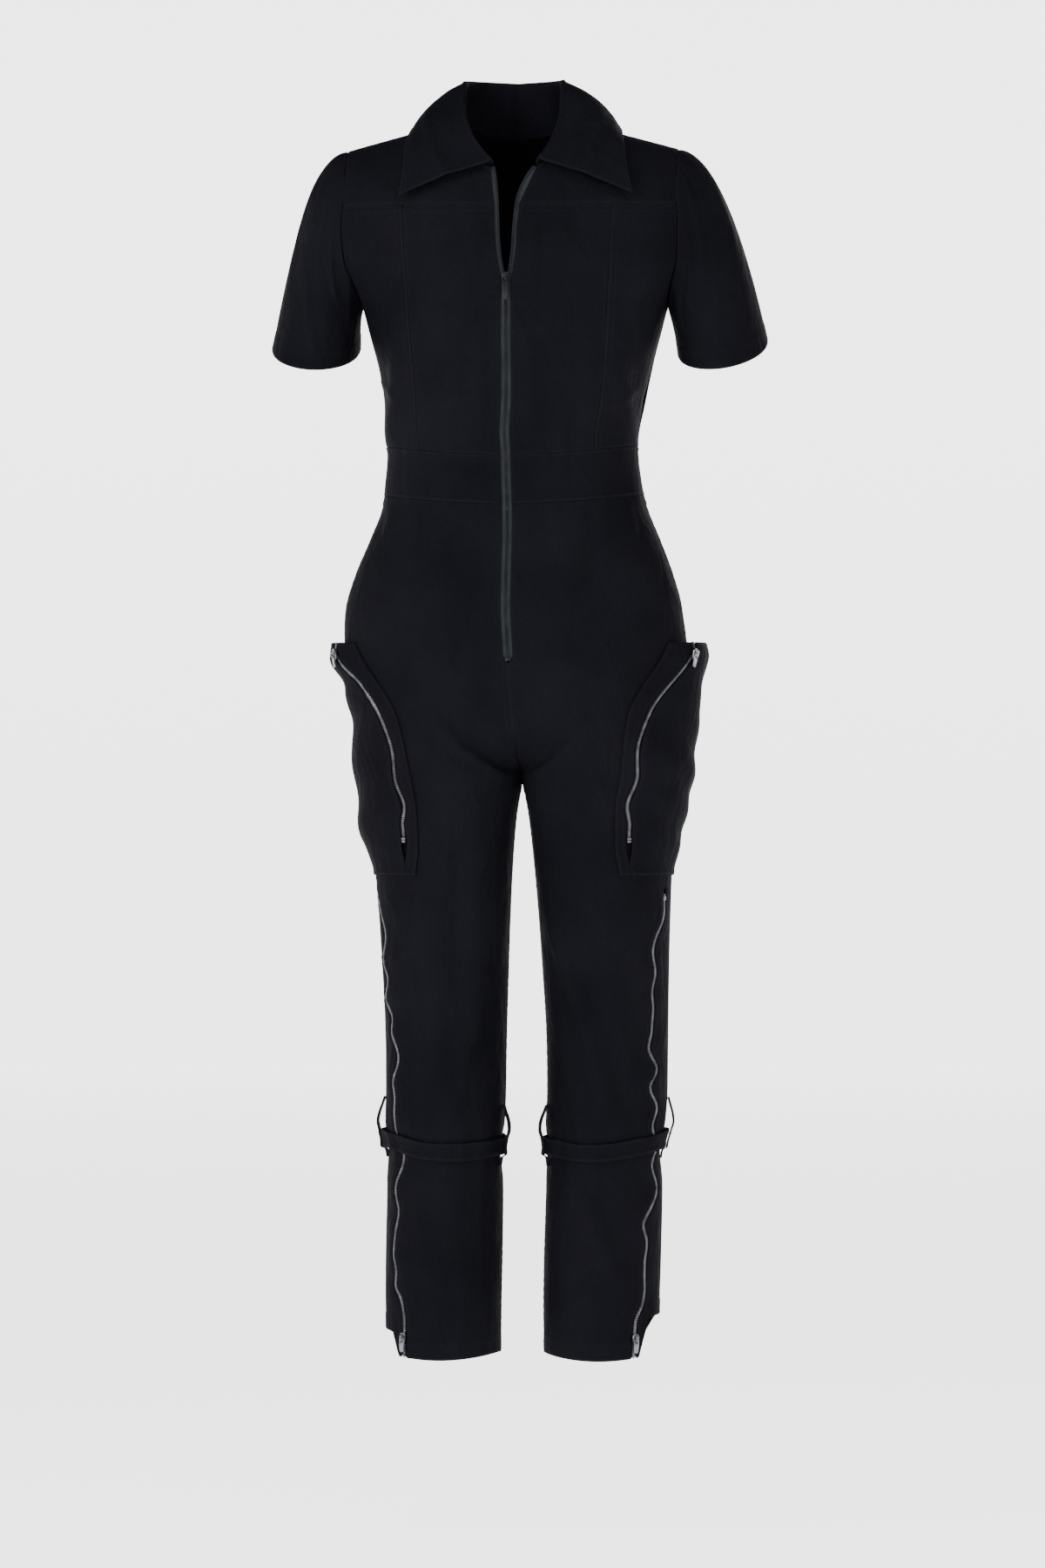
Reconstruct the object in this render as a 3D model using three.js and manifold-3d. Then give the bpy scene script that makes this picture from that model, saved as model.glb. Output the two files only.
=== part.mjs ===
// Short-sleeved zip-front jumpsuit in black woven cloth, kept in the hollow shape it has when worn.
// Millimetres. +Z is up and the front faces -Y. The origin is midway between the two neck points.
// x runs to the viewer's right. Tables give half widths, so one row serves the left and the right side.
import * as THREE from "three";
import Module from "manifold-3d";

const wasm = await Module();
wasm.setup();

// Driving dimensions
const CLOTH = 1.5; // wall of the cloth, sewn double at its edges
const TAPE = 0.9; // zip tape
const SEAM = 0.15; // each piece stops this far from its seam line
const CLEAR = 0.3; // between a panel and what lies on it
const POCKET_LIFT = 0.9; // between the leg and the rim of a pocket
const ROUND = 2.25; // exponent of the trunk's section, 2 is an ellipse
const SHOULDER_DROP = 0.27; // fall of the shoulder seam for each mm outwards
const NECK_HALF = 62;
const TIP = { x: 190, z: -35 }; // outer end of the shoulder seam
const UNDERARM_Z = -214;
const YOKE_Z = -100; // front yoke seam
const WAIST_TOP_Z = -385; // waistband seams at the centre front
const WAIST_BOTTOM_Z = -441;
const WAIST_LIFT = 12; // how much higher the waist seams are at the sides
const ZIP_TOP_Z = -56;
const SLIDER_Z = -186; // front slider, the zip is open above it
const ZIP_END_Z = -617;
const ZIP_EDGE = 5.5; // from the middle of a closed zip to the cloth's edge
const CHAIN_HALF = 2.5;
const CROTCH_Z = -748;
const CROTCH_RISE = 92; // height over which the legs join the trunk at the crotch seam
const THIGH_RISE = 150; // and further out, across the thighs
const POCKET_TOP_Z = -598;
const POCKET_END_Z = -864;
const LEG_ZIP_TOP_Z = -884;
const HEM_Z = -1418;
const CHAIN_HIGH = 1.7; // height of the zip teeth
const UNDER_CLOTH = 9; // how far the front zip's tape reaches under the cloth
const LEG_UNDER_CLOTH = 6;
const FRONT_TAB = 28; // lengths of the pull tabs
const SMALL_TAB = 17;

// Trunk: half width, depth of front and back, shift of the middle
const BODY = [
  { z: 40, half: 204, front: 52, back: 58, centre: 0 },
  { z: -35, half: 204, front: 68, back: 74, centre: 0 },
  { z: -80, half: 203, front: 79, back: 88, centre: 0 },
  { z: -125, half: 205, front: 91, back: 96, centre: 0 },
  { z: -160, half: 200, front: 104, back: 97, centre: 1 },
  { z: -190, half: 185, front: 112, back: 95, centre: 2 },
  { z: -214, half: 174, front: 116, back: 93, centre: 2 },
  { z: -240, half: 167, front: 118, back: 89, centre: 2 },
  { z: -280, half: 157, front: 114, back: 83, centre: 2 },
  { z: -320, half: 150, front: 103, back: 78, centre: 1 },
  { z: -360, half: 145, front: 93, back: 75, centre: -2 },
  { z: -380, half: 143, front: 90, back: 74, centre: -1 },
  { z: -420, half: 147, front: 90, back: 79, centre: 0 },
  { z: -440, half: 150, front: 92, back: 84, centre: 1 },
  { z: -480, half: 165, front: 96, back: 98, centre: 1.5 },
  { z: -520, half: 181, front: 99, back: 110, centre: 0.5 },
  { z: -560, half: 192, front: 100, back: 118, centre: 0 },
  { z: -600, half: 195, front: 99, back: 120, centre: 2 },
  { z: -650, half: 189, front: 96, back: 117, centre: 4 },
  { z: -700, half: 183, front: 93, back: 110, centre: 7 },
  { z: -748, half: 178, front: 89, back: 101, centre: 10 },
];

// Legs: middle of the leg out from the trunk's middle, half width, depth of front and back, shift of both legs
const LEG = [
  { z: -748, out: 89, half: 89, front: 89, back: 101, centre: 10 },
  { z: -800, out: 91.5, half: 82, front: 84, back: 93, centre: 10.5 },
  { z: -860, out: 92, half: 77, front: 79, back: 84, centre: 11.5 },
  { z: -910, out: 92.3, half: 74, front: 74, back: 78, centre: 12.5 },
  { z: -960, out: 92.5, half: 71.5, front: 70, back: 73, centre: 13.5 },
  { z: -1060, out: 93.2, half: 68, front: 64, back: 68, centre: 15 },
  { z: -1110, out: 93.3, half: 67.5, front: 63.5, back: 69, centre: 15 },
  { z: -1145, out: 92.8, half: 67, front: 64.5, back: 70, centre: 14.5 },
  { z: -1178, out: 92.2, half: 62, front: 59.5, back: 65, centre: 14 },
  { z: -1215, out: 92, half: 65, front: 61, back: 68, centre: 13 },
  { z: -1300, out: 91.6, half: 65.5, front: 58.5, back: 66, centre: 11 },
  { z: -1360, out: 91.3, half: 65, front: 57, back: 63, centre: 10 },
  { z: -1430, out: 91, half: 64, front: 56, back: 61, centre: 10 },
];

// Armhole seam: distance out, and the part of the section's depth that stays open at the seam
const ARMHOLE = [
  { z: 20, x: 190, open: 36 },
  { z: -35, x: 190, open: 36 },
  { z: -80, x: 189.5, open: 37 },
  { z: -120, x: 192, open: 37 },
  { z: -158, x: 190, open: 30 },
  { z: -190, x: 180.5, open: 15 },
  { z: -205, x: 176, open: 5 },
  { z: -214, x: 174, open: 0 },
  { z: -220, x: 172, open: 0 },
];

// Princess seam and front opening, as distances from the middle
const PRINCESS = [
  { z: -60, x: 121 },
  { z: -100, x: 120 },
  { z: -217, x: 113 },
  { z: -290, x: 108 },
  { z: -350, x: 103 },
  { z: -385, x: 100 },
  { z: -441, x: 100 },
];
const OPENING = [
  { z: -50, left: 21, right: 38 },
  { z: -70, left: 17, right: 24 },
  { z: -95, left: 14.5, right: 15 },
  { z: -120, left: 13, right: 12.5 },
  { z: -150, left: 11, right: 11 },
  { z: -176, left: 7.5, right: 7.5 },
  { z: -190, left: ZIP_EDGE, right: ZIP_EDGE },
  { z: -620, left: ZIP_EDGE, right: ZIP_EDGE },
];

// Neckline as x and z, from the front opening to the neck point and from there to the centre back
const NECK_FRONT = [
  { x: 29, z: ZIP_TOP_Z },
  { x: 44, z: -43 },
  { x: 55, z: -25 },
  { x: NECK_HALF, z: 0 },
];
const NECK_BACK = [
  { x: NECK_HALF, z: 0 },
  { x: 46, z: -10 },
  { x: 24, z: -16 },
  { x: 0, z: -18 },
];

// Sleeve hem: outer and inner corner, middle of its depth, half depth, and how far the front hangs lower
const SLEEVE = {
  left: { outerX: 279, outerZ: -258, innerX: 181, innerZ: -264, y: 12, deep: 62, tip: 25 },
  right: { outerX: 290, outerZ: -256, innerX: 190, innerZ: -266, y: 12, deep: 62, tip: 26 },
};

// Collar: roll line and outer edge, from the centre back to the front end. lift is the bow of the leaf.
const COLLAR = {
  left: [
    { at: 0, rollX: 0, rollY: 60, rollZ: 47, edgeX: 0, edgeY: 83, edgeZ: -26, lift: 5 },
    { at: 0.28, rollX: 38, rollY: 44, rollZ: 48, edgeX: 62, edgeY: 72, edgeZ: -22, lift: 6 },
    { at: 0.5, rollX: 57, rollY: 2, rollZ: 46, edgeX: 115, edgeY: 10, edgeZ: -9, lift: 8 },
    { at: 0.68, rollX: 55, rollY: -34, rollZ: 14, edgeX: 119, edgeY: -46, edgeZ: -26, lift: 8 },
    { at: 0.84, rollX: 43, rollY: -62, rollZ: -18, edgeX: 120, edgeY: -74, edgeZ: -58, lift: 6 },
    { at: 1, rollX: 19, rollY: -79, rollZ: -49, edgeX: 123, edgeY: -86, edgeZ: -89, lift: 2 },
  ],
  right: [
    { at: 0, rollX: 0, rollY: 60, rollZ: 47, edgeX: 0, edgeY: 83, edgeZ: -26, lift: 5 },
    { at: 0.28, rollX: 38, rollY: 44, rollZ: 48, edgeX: 62, edgeY: 72, edgeZ: -22, lift: 6 },
    { at: 0.5, rollX: 57, rollY: 2, rollZ: 47, edgeX: 121, edgeY: 10, edgeZ: -10, lift: 8 },
    { at: 0.68, rollX: 59, rollY: -34, rollZ: 12, edgeX: 130, edgeY: -46, edgeZ: -27, lift: 8 },
    { at: 0.84, rollX: 52, rollY: -62, rollZ: -20, edgeX: 137, edgeY: -72, edgeZ: -58, lift: 6 },
    { at: 1, rollX: 37, rollY: -78, rollZ: -47, edgeX: 144, edgeY: -84, edgeZ: -88, lift: 2 },
  ],
};

// Thigh pocket: front edge and zip as distances from the legs' middle, and how far the bag stands off the leg
const POCKET = [
  { z: -592, edge: 181, zip: 195, bagLeft: 14, bagRight: 18 },
  { z: -616, edge: 170, zip: 187, bagLeft: 17, bagRight: 23 },
  { z: -650, edge: 148, zip: 167, bagLeft: 5, bagRight: 21 },
  { z: -680, edge: 132, zip: 149, bagLeft: 5, bagRight: 17 },
  { z: -712, edge: 125, zip: 140, bagLeft: 8, bagRight: 18 },
  { z: -752, edge: 119, zip: 133, bagLeft: 12, bagRight: 15 },
  { z: -790, edge: 113, zip: 126, bagLeft: 12, bagRight: 11 },
  { z: -830, edge: 112, zip: 126, bagLeft: 10, bagRight: 7 },
  { z: -864, edge: 116, zip: 128, bagLeft: 6, bagRight: 6 },
];
const POCKET_BACK_X = 128; // back edge, from the legs' middle
const POCKET_ZIP_END_Z = -826;
const POCKET_SLIDER_Z = POCKET_TOP_Z - 12;

// Outseam zip, as the distance from the legs' middle on each side
const LEG_ZIP = [
  { z: -860, left: 167, right: 165 },
  { z: -884, left: 166, right: 163 },
  { z: -925, left: 158, right: 158 },
  { z: -964, left: 158, right: 149 },
  { z: -1005, left: 156, right: 150 },
  { z: -1035, left: 151, right: 146 },
  { z: -1060, left: 146, right: 145 },
  { z: -1083, left: 144, right: 150 },
  { z: -1105, left: 149, right: 146 },
  { z: -1128, left: 150, right: 150 },
  { z: -1150, left: 145, right: 149 },
  { z: -1185, left: 139, right: 147 },
  { z: -1215, left: 142, right: 151 },
  { z: -1245, left: 141, right: 148 },
  { z: -1268, left: 143, right: 141 },
  { z: -1300, left: 144, right: 143 },
  { z: -1330, left: 142, right: 144 },
  { z: -1352, left: 134, right: 141 },
  { z: -1376, left: 131, right: 133 },
  { z: -1430, left: 131, right: 131 },
];

// Largest folds of the legs, from one point to the other: x from the legs' middle on the front or back
const LEG_FOLDS = [
  { side: 1, back: 0, x0: 36, z0: -918, x1: 64, z1: -1000, wide: 11, high: 4 },
  { side: 1, back: 0, x0: 64, z0: -1000, x1: 104, z1: -1150, wide: 12, high: 4.5 },
  { side: 1, back: 0, x0: 96, z0: -905, x1: 112, z1: -1060, wide: 14, high: 2.5 },
  { side: 1, back: 0, x0: 60, z0: -1215, x1: 118, z1: -1330, wide: 12, high: 2.5 },
  { side: -1, back: 0, x0: 66, z0: -840, x1: 70, z1: -1000, wide: 12, high: -3 },
  { side: -1, back: 0, x0: 104, z0: -900, x1: 96, z1: -1100, wide: 13, high: 3 },
  { side: -1, back: 0, x0: 52, z0: -1020, x1: 80, z1: -1140, wide: 12, high: 3 },
  { side: -1, back: 0, x0: 74, z0: -1215, x1: 96, z1: -1350, wide: 13, high: 2.5 },
  { side: 1, back: 0, x0: 22, z0: -752, x1: 82, z1: -690, wide: 10, high: 3 },
  { side: -1, back: 0, x0: 22, z0: -752, x1: 82, z1: -690, wide: 10, high: 3 },
  { side: 1, back: 1, x0: 30, z0: -770, x1: 110, z1: -700, wide: 12, high: 4 },
  { side: -1, back: 1, x0: 30, z0: -770, x1: 105, z1: -712, wide: 12, high: 4 },
  { side: 1, back: 1, x0: 60, z0: -1020, x1: 118, z1: -1085, wide: 12, high: 4 },
  { side: 1, back: 1, x0: 70, z0: -1085, x1: 125, z1: -1125, wide: 10, high: 3.5 },
  { side: -1, back: 1, x0: 64, z0: -1030, x1: 122, z1: -1078, wide: 12, high: 4 },
  { side: -1, back: 1, x0: 58, z0: -1090, x1: 115, z1: -1128, wide: 10, high: 3.5 },
  { side: 1, back: 1, x0: 60, z0: -1240, x1: 110, z1: -1350, wide: 14, high: 3 },
  { side: -1, back: 1, x0: 66, z0: -1235, x1: 112, z1: -1340, wide: 14, high: 3 },
];

// Gathers where the knee strap draws the leg in
const GATHERS = { count: 5, high: 2, above: 44, below: 30, z: -1178 };

// Folds of the bodice
const BODY_FOLDS = [
  { side: -1, back: 0, x0: 126, z0: -228, x1: 134, z1: -356, wide: 9, high: 3 },
  { side: 1, back: 0, x0: 120, z0: -240, x1: 134, z1: -350, wide: 9, high: 3 },
  { side: -1, back: 0, x0: 30, z0: -240, x1: 26, z1: -350, wide: 8, high: 2 },
  { side: 1, back: 0, x0: 24, z0: -250, x1: 28, z1: -345, wide: 8, high: 2 },
  { side: -1, back: 1, x0: 120, z0: -180, x1: 96, z1: -340, wide: 12, high: 3.5 },
  { side: 1, back: 1, x0: 118, z0: -185, x1: 94, z1: -345, wide: 12, high: 3.5 },
  { side: -1, back: 1, x0: 40, z0: -320, x1: 124, z1: -350, wide: 9, high: 2.5 },
  { side: 1, back: 1, x0: 44, z0: -318, x1: 122, z1: -346, wide: 9, high: 2.5 },
  { side: -1, back: 0, x0: 96, z0: -450, x1: 96, z1: -530, wide: 7, high: -2 },
  { side: 1, back: 0, x0: 96, z0: -450, x1: 96, z1: -530, wide: 7, high: -2 },
];

const CLOTH_LOOK = { color: 0x18181d, roughness: 0.82, metalness: 0 };
const TAPE_LOOK = { color: 0x111114, roughness: 0.9, metalness: 0 };
const SILVER_LOOK = { color: 0xc4c4c6, roughness: 0.32, metalness: 1 };
const GUNMETAL_LOOK = { color: 0x2a2a2e, roughness: 0.38, metalness: 1 };

const jumpsuit = new THREE.Group();
jumpsuit.name = "jumpsuit";

const lerp = (a, b, t) => a + (b - a) * t;
const clamp = (v, lo, hi) => Math.min(hi, Math.max(lo, v));
const sideName = (side) => (side < 0 ? "left" : "right");
const smooth = (t) => {
  const c = clamp(t, 0, 1);
  return c * c * (3 - 2 * c);
};

// Value of a table's column at a place on its key column, along a curve that never overshoots
function at(table, column, place, key = "z") {
  const rising = table[0][key] < table[table.length - 1][key];
  const rows = rising ? table : [...table].reverse();
  const n = rows.length;
  const p = clamp(place, rows[0][key], rows[n - 1][key]);
  let i = 0;
  while (i < n - 2 && p > rows[i + 1][key]) i += 1;
  const step = (k) => rows[k + 1][key] - rows[k][key];
  const slope = (k) => (rows[k + 1][column] - rows[k][column]) / step(k);
  const tangent = (k) => {
    if (k === 0) return slope(0);
    if (k === n - 1) return slope(n - 2);
    const before = slope(k - 1);
    const after = slope(k);
    return before * after <= 0 ? 0 : (2 * before * after) / (before + after);
  };
  const h = step(i);
  const t = (p - rows[i][key]) / h;
  const a = rows[i][column];
  const b = rows[i + 1][column];
  const s = t * t * (3 - 2 * t);
  return a + (b - a) * s + h * (t * (1 - t) * (1 - t) * tangent(i) - t * t * (1 - t) * tangent(i + 1));
}

// Evenly or unevenly spaced stations between two values
function stations(from, to, count, bend = 0) {
  return Array.from({ length: count + 1 }, (_, i) => {
    const t = i / count;
    return lerp(from, to, lerp(t, 1 - Math.cos((t * Math.PI) / 2), bend));
  });
}

// Height of a soft fold at a point of a panel, both in mm along the cloth
function foldHeight(fold, u, v, u0, v0, u1, v1) {
  const du = u1 - u0;
  const dv = v1 - v0;
  const length2 = du * du + dv * dv;
  const t = clamp(((u - u0) * du + (v - v0) * dv) / length2, -0.25, 1.25);
  const d = Math.hypot(u - (u0 + t * du), v - (v0 + t * dv));
  const ends = smooth((t + 0.25) / 0.4) * smooth((1.25 - t) / 0.4);
  return fold.high * ends * Math.exp(-((d / fold.wide) ** 2));
}

// Shoulder arch: share of the full depth at a distance below the shoulder ridge
const ARCH = { front: 92, back: 74, power: 2.2 };
const ridge = (x) => -SHOULDER_DROP * (x - NECK_HALF);
function arch(x, z, back) {
  const e = clamp((ridge(x) - z) / (back ? ARCH.back : ARCH.front), 0, 1);
  return (1 - (1 - e) ** ARCH.power) ** (1 / ARCH.power);
}

// Depth of the trunk behind or before its middle plane at x and z
function depth(x, z, back) {
  const half = at(BODY, "half", z);
  const full = at(BODY, back ? "back" : "front", z);
  const open = at(ARMHOLE, "open", z);
  const r = clamp(x / half, 0, 1);
  return arch(x, z, back) * (open + (full - open) * (1 - r ** ROUND) ** (1 / ROUND));
}

// Outward direction of the trunk, from the gradient of its section or of its shoulder arch
function trunkNormal(x, z, back) {
  const y = depth(x, z, back);
  const level = (px, py, pz) => {
    const s = arch(px, pz, back);
    const half = at(BODY, "half", pz);
    const full = at(BODY, back ? "back" : "front", pz);
    const open = at(ARMHOLE, "open", pz);
    const r = clamp(Math.abs(px) / half, 0, 1.2);
    if (arch(x, z, back) > 0.8) {
      const deep = Math.abs(py) / s;
      if (open > 0 && deep < open) return r ** ROUND - 1;
      return ((deep - open) / (full - open)) ** ROUND + r ** ROUND - 1;
    }
    const flat = open + (full - open) * Math.max(0, 1 - r ** ROUND) ** (1 / ROUND);
    const e = clamp((ridge(Math.abs(px)) - pz) / (back ? ARCH.back : ARCH.front), -0.5, 1);
    return (Math.abs(py) / flat) ** ARCH.power + (1 - e) ** ARCH.power - 1;
  };
  const h = 0.02;
  const n = new THREE.Vector3(
    level(x + h, y, z) - level(x - h, y, z),
    level(x, y + h, z) - level(x, y - h, z),
    level(x, y, z + h) - level(x, y, z - h),
  ).normalize();
  return new THREE.Vector3(n.x, back ? n.y : -n.y, n.z);
}

function bodyFold(side, back, x, z) {
  let sum = 0;
  for (const f of BODY_FOLDS) {
    if (f.side === side && f.back === (back ? 1 : 0)) {
      sum += foldHeight(f, x, z, f.x0, f.z0, f.x1, f.z1);
    }
  }
  return sum;
}

// Point of the trunk's inner face above the crotch, with its outward direction. x is the distance from the middle.
function trunk(side, x, z, back) {
  const n = trunkNormal(Math.abs(x), z, back);
  const y = depth(Math.abs(x), z, back);
  const p = new THREE.Vector3(Math.abs(x), back ? y : -y, z);
  p.addScaledVector(n, bodyFold(side, back, Math.abs(x), z));
  const flip = x < 0 ? -side : side;
  return {
    p: new THREE.Vector3(flip * p.x + at(BODY, "centre", z), p.y, p.z),
    n: new THREE.Vector3(flip * n.x, n.y, n.z),
  };
}

const SEAM_TURN = 0.3; // the crotch seam's own shape reaches this far round the leg, then fades
// Plain ring of one leg and half of the trunk: turn 0 is the inside, half a turn the outer side, the front first
function ringPoint(turn, z) {
  const s = Math.sin(turn / 2);
  const c = Math.cos(turn / 2);
  const back = c < 0;
  if (z <= CROTCH_Z) {
    const deep = at(LEG, Math.sin(turn) < 0 ? "back" : "front", z);
    return [at(LEG, "out", z) - at(LEG, "half", z) * Math.cos(turn), -deep * Math.sin(turn)];
  }
  const half = at(BODY, "half", z);
  const deep = at(BODY, back ? "back" : "front", z);
  const power = 2 / ROUND;
  const whole = [half * Math.sign(s) * Math.abs(s) ** power, -Math.sign(c) * deep * Math.abs(c) ** power];
  const leg = [(half / 2) * (1 - Math.cos(turn)), -deep * Math.sin(turn)];
  const t = clamp((z - CROTCH_Z) / CROTCH_RISE, 0, 1);
  const share = 1 - (1 - t) ** 3;
  const x = lerp(leg[0], whole[0], share);
  const u = clamp(Math.abs(x) / half, 0, 1);
  const legDeep = deep * Math.sqrt(Math.max(0, 1 - (2 * u - 1) ** 2));
  const wholeDeep = deep * (1 - u ** ROUND) ** (1 / ROUND);
  const even = -Math.sign(Math.sin(turn)) * lerp(legDeep, wholeDeep, smooth((z - CROTCH_Z) / THIGH_RISE));
  const fromSeam = Math.min(turn, 2 * Math.PI - turn);
  return [x, lerp(lerp(leg[1], whole[1], share), even, smooth(fromSeam - SEAM_TURN))];
}

// Turn at which the front or back of the ring lies at a distance from the middle
function turnAt(x, z, back) {
  let lo = 0;
  let hi = Math.PI;
  for (let i = 0; i < 40; i += 1) {
    const mid = (lo + hi) / 2;
    if (ringPoint(mid, z)[0] < x) lo = mid;
    else hi = mid;
  }
  return back ? 2 * Math.PI - (lo + hi) / 2 : (lo + hi) / 2;
}

const FOLD_RADIUS = 68; // turns a fold's angle into mm along the cloth
const LEG_FOLD_LINES = LEG_FOLDS.map((f) => ({
  ...f,
  u0: FOLD_RADIUS * turnAt(f.x0, f.z0, f.back),
  u1: FOLD_RADIUS * turnAt(f.x1, f.z1, f.back),
}));

function legFold(side, turn, z) {
  let sum = 0;
  for (const f of LEG_FOLD_LINES) {
    if (f.side === side) sum += foldHeight(f, FOLD_RADIUS * turn, z, f.u0, f.z0, f.u1, f.z1);
  }
  const away = z - GATHERS.z;
  const reach = away > 0 ? GATHERS.above : GATHERS.below;
  const near = Math.exp(-((away / reach) ** 2));
  return sum + GATHERS.high * near * Math.sin(GATHERS.count * turn + side);
}

// Point of the trousers' inner face with its outward direction
function trousers(side, turn, z) {
  const e = 0.002;
  const h = 0.05;
  const a = ringPoint(turn - e, z);
  const b = ringPoint(turn + e, z);
  const up = ringPoint(turn, z + h);
  const down = ringPoint(turn, z - h);
  const along = new THREE.Vector3(b[0] - a[0], b[1] - a[1], 0);
  const rise = new THREE.Vector3(up[0] - down[0], up[1] - down[1], 2 * h);
  const n = along.cross(rise).normalize();
  const [x, y] = ringPoint(turn, z);
  const p = new THREE.Vector3(x, y, z).addScaledVector(n, legFold(side, turn, z));
  if (z > CROTCH_Z) {
    const back = Math.cos(turn / 2) < 0;
    p.addScaledVector(n, bodyFold(side, back, x, z));
  }
  const centre = z > CROTCH_Z ? at(BODY, "centre", z) : at(LEG, "centre", z);
  return {
    p: new THREE.Vector3(side * p.x + centre, p.y, p.z),
    n: new THREE.Vector3(side * n.x, n.y, n.z),
    centre,
  };
}

// Length of cloth for one radian of turn
function radius(turn, z) {
  const a = ringPoint(turn - 0.01, z);
  const b = ringPoint(turn + 0.01, z);
  return Math.hypot(b[0] - a[0], b[1] - a[1]) / 0.02;
}

function addMesh(name, geometry, look) {
  const mesh = new THREE.Mesh(geometry, new THREE.MeshStandardMaterial({ ...look, name }));
  mesh.name = name;
  jumpsuit.add(mesh);
  return mesh;
}

function signedVolume(positions, index) {
  let sum = 0;
  const v = (k) => new THREE.Vector3(positions[3 * k], positions[3 * k + 1], positions[3 * k + 2]);
  for (let i = 0; i < index.length; i += 3) {
    sum += v(index[i]).dot(v(index[i + 1]).cross(v(index[i + 2])));
  }
  return sum / 6;
}

// Closed wall between an inner and an outer grid of points. A closed ring joins its last row to its first.
function wall(inner, outer, ring = false) {
  const rows = inner.length;
  const cols = inner[0].length;
  const positions = [];
  for (const grid of [inner, outer]) {
    for (const row of grid) for (const p of row) positions.push(p.x, p.y, p.z);
  }
  const id = (face, i, j) => face * rows * cols + (i % rows) * cols + j;
  const index = [];
  const quad = (a, b, c, d) => index.push(a, b, c, a, c, d);
  const lastRow = ring ? rows : rows - 1;
  for (let i = 0; i < lastRow; i += 1) {
    for (let j = 0; j < cols - 1; j += 1) {
      quad(id(1, i, j), id(1, i + 1, j), id(1, i + 1, j + 1), id(1, i, j + 1));
      quad(id(0, i, j + 1), id(0, i + 1, j + 1), id(0, i + 1, j), id(0, i, j));
    }
    quad(id(0, i, 0), id(0, i + 1, 0), id(1, i + 1, 0), id(1, i, 0));
    quad(id(1, i, cols - 1), id(1, i + 1, cols - 1), id(0, i + 1, cols - 1), id(0, i, cols - 1));
  }
  if (!ring) {
    for (let j = 0; j < cols - 1; j += 1) {
      quad(id(0, 0, j + 1), id(0, 0, j), id(1, 0, j), id(1, 0, j + 1));
      quad(id(0, rows - 1, j), id(0, rows - 1, j + 1), id(1, rows - 1, j + 1), id(1, rows - 1, j));
    }
  }
  if (signedVolume(positions, index) < 0) {
    for (let i = 0; i < index.length; i += 3) [index[i], index[i + 1]] = [index[i + 1], index[i]];
  }
  const geometry = new THREE.BufferGeometry();
  geometry.setAttribute("position", new THREE.Float32BufferAttribute(positions, 3));
  geometry.setIndex(index);
  return geometry;
}

// Wall of cloth from a grid of points with directions, lifted and thickened along them
function clothWall(grid, lift = 0, thick = CLOTH, keep = (p) => p, ring = false) {
  const move = (h) => grid.map((row) => row.map((s) => keep(s.p.clone().addScaledVector(s.n, h))));
  return wall(move(lift), move(lift + thick), ring);
}

// Keeps points on their own side of the middle plane, for the seam between the two halves
const keepSide = (side, gap = SEAM) => (p) => {
  const centre = p.z > CROTCH_Z ? at(BODY, "centre", p.z) : at(LEG, "centre", p.z);
  const x = side * (p.x - centre);
  return x < gap ? new THREE.Vector3(centre + side * gap, p.y, p.z) : p;
};

// Height of the waist seams, which rise to the sides
const seamZ = (z, x) => z + WAIST_LIFT * (x / at(BODY, "half", z)) ** 2;

// Sections shared by front, back and sleeve, so that the walls meet along the same lines
const YOKE_ROWS = stations(0, 1, 5, 0.75);
const ARM_ROWS_Z = [YOKE_Z, -122, -143, -162, -178, -192, -204, UNDERARM_Z];
const BODICE_ROWS = [
  ...ARM_ROWS_Z.map((z) => ({ z, waist: 0 })),
  { z: -238, waist: 0.05 },
  { z: -262, waist: 0.15 },
  { z: -288, waist: 0.3 },
  { z: -316, waist: 0.55 },
  { z: -344, waist: 0.8 },
  { z: -366, waist: 0.95 },
  { z: WAIST_TOP_Z, waist: 1 },
];
const CENTRE_COLS = stations(0, 1, 3);
const SIDE_COLS = stations(0, 1, 5);

const edgeX = (z) => (z > UNDERARM_Z ? at(ARMHOLE, "x", z) : at(BODY, "half", z));
const openX = (side, z) => at(OPENING, sideName(side), z);

// Along the side seam the wall turns to face outwards, so equal steps of x are bent towards the side
function sideX(from, to, c) {
  const t = Math.sin((c * Math.PI) / 2);
  return lerp(from, to, lerp(c, t, 0.75));
}

function bodiceZ(row, x, gapTop, gapBottom) {
  const z = row.z + gapTop + gapBottom;
  return z + row.waist * WAIST_LIFT * (x / at(BODY, "half", row.z)) ** 2;
}

// Side edge of the wall at the side seam: exactly on the middle plane, held back by the seam's gap
function sideSeam(point, back) {
  const y = back ? SEAM : -SEAM;
  point.p.y = back ? Math.max(point.p.y, y) : Math.min(point.p.y, y);
  return point;
}

// Direction and pull of the sleeve's lines at the armhole and at the hem, longest over the shoulder
function sleeveStart(cosTurn) {
  const c = (1 + cosTurn) / 2;
  return new THREE.Vector3(lerp(14, 150, c), 0, lerp(-44, -5, c));
}
function sleeveEnd(cosTurn) {
  const c = (1 + cosTurn) / 2;
  return new THREE.Vector3(lerp(4, 40, c), 0, lerp(-40, -180, c));
}

// Rows of the armhole from the shoulder tip to the underarm
const ARM_STATIONS = [
  ...YOKE_ROWS.map((t) => lerp(TIP.z, YOKE_Z, t)),
  ...ARM_ROWS_Z.slice(1),
];
const ARM_MIDDLE = (TIP.z + UNDERARM_Z) / 2;
const ARM_REACH = (TIP.z - UNDERARM_Z) / 2;

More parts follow.
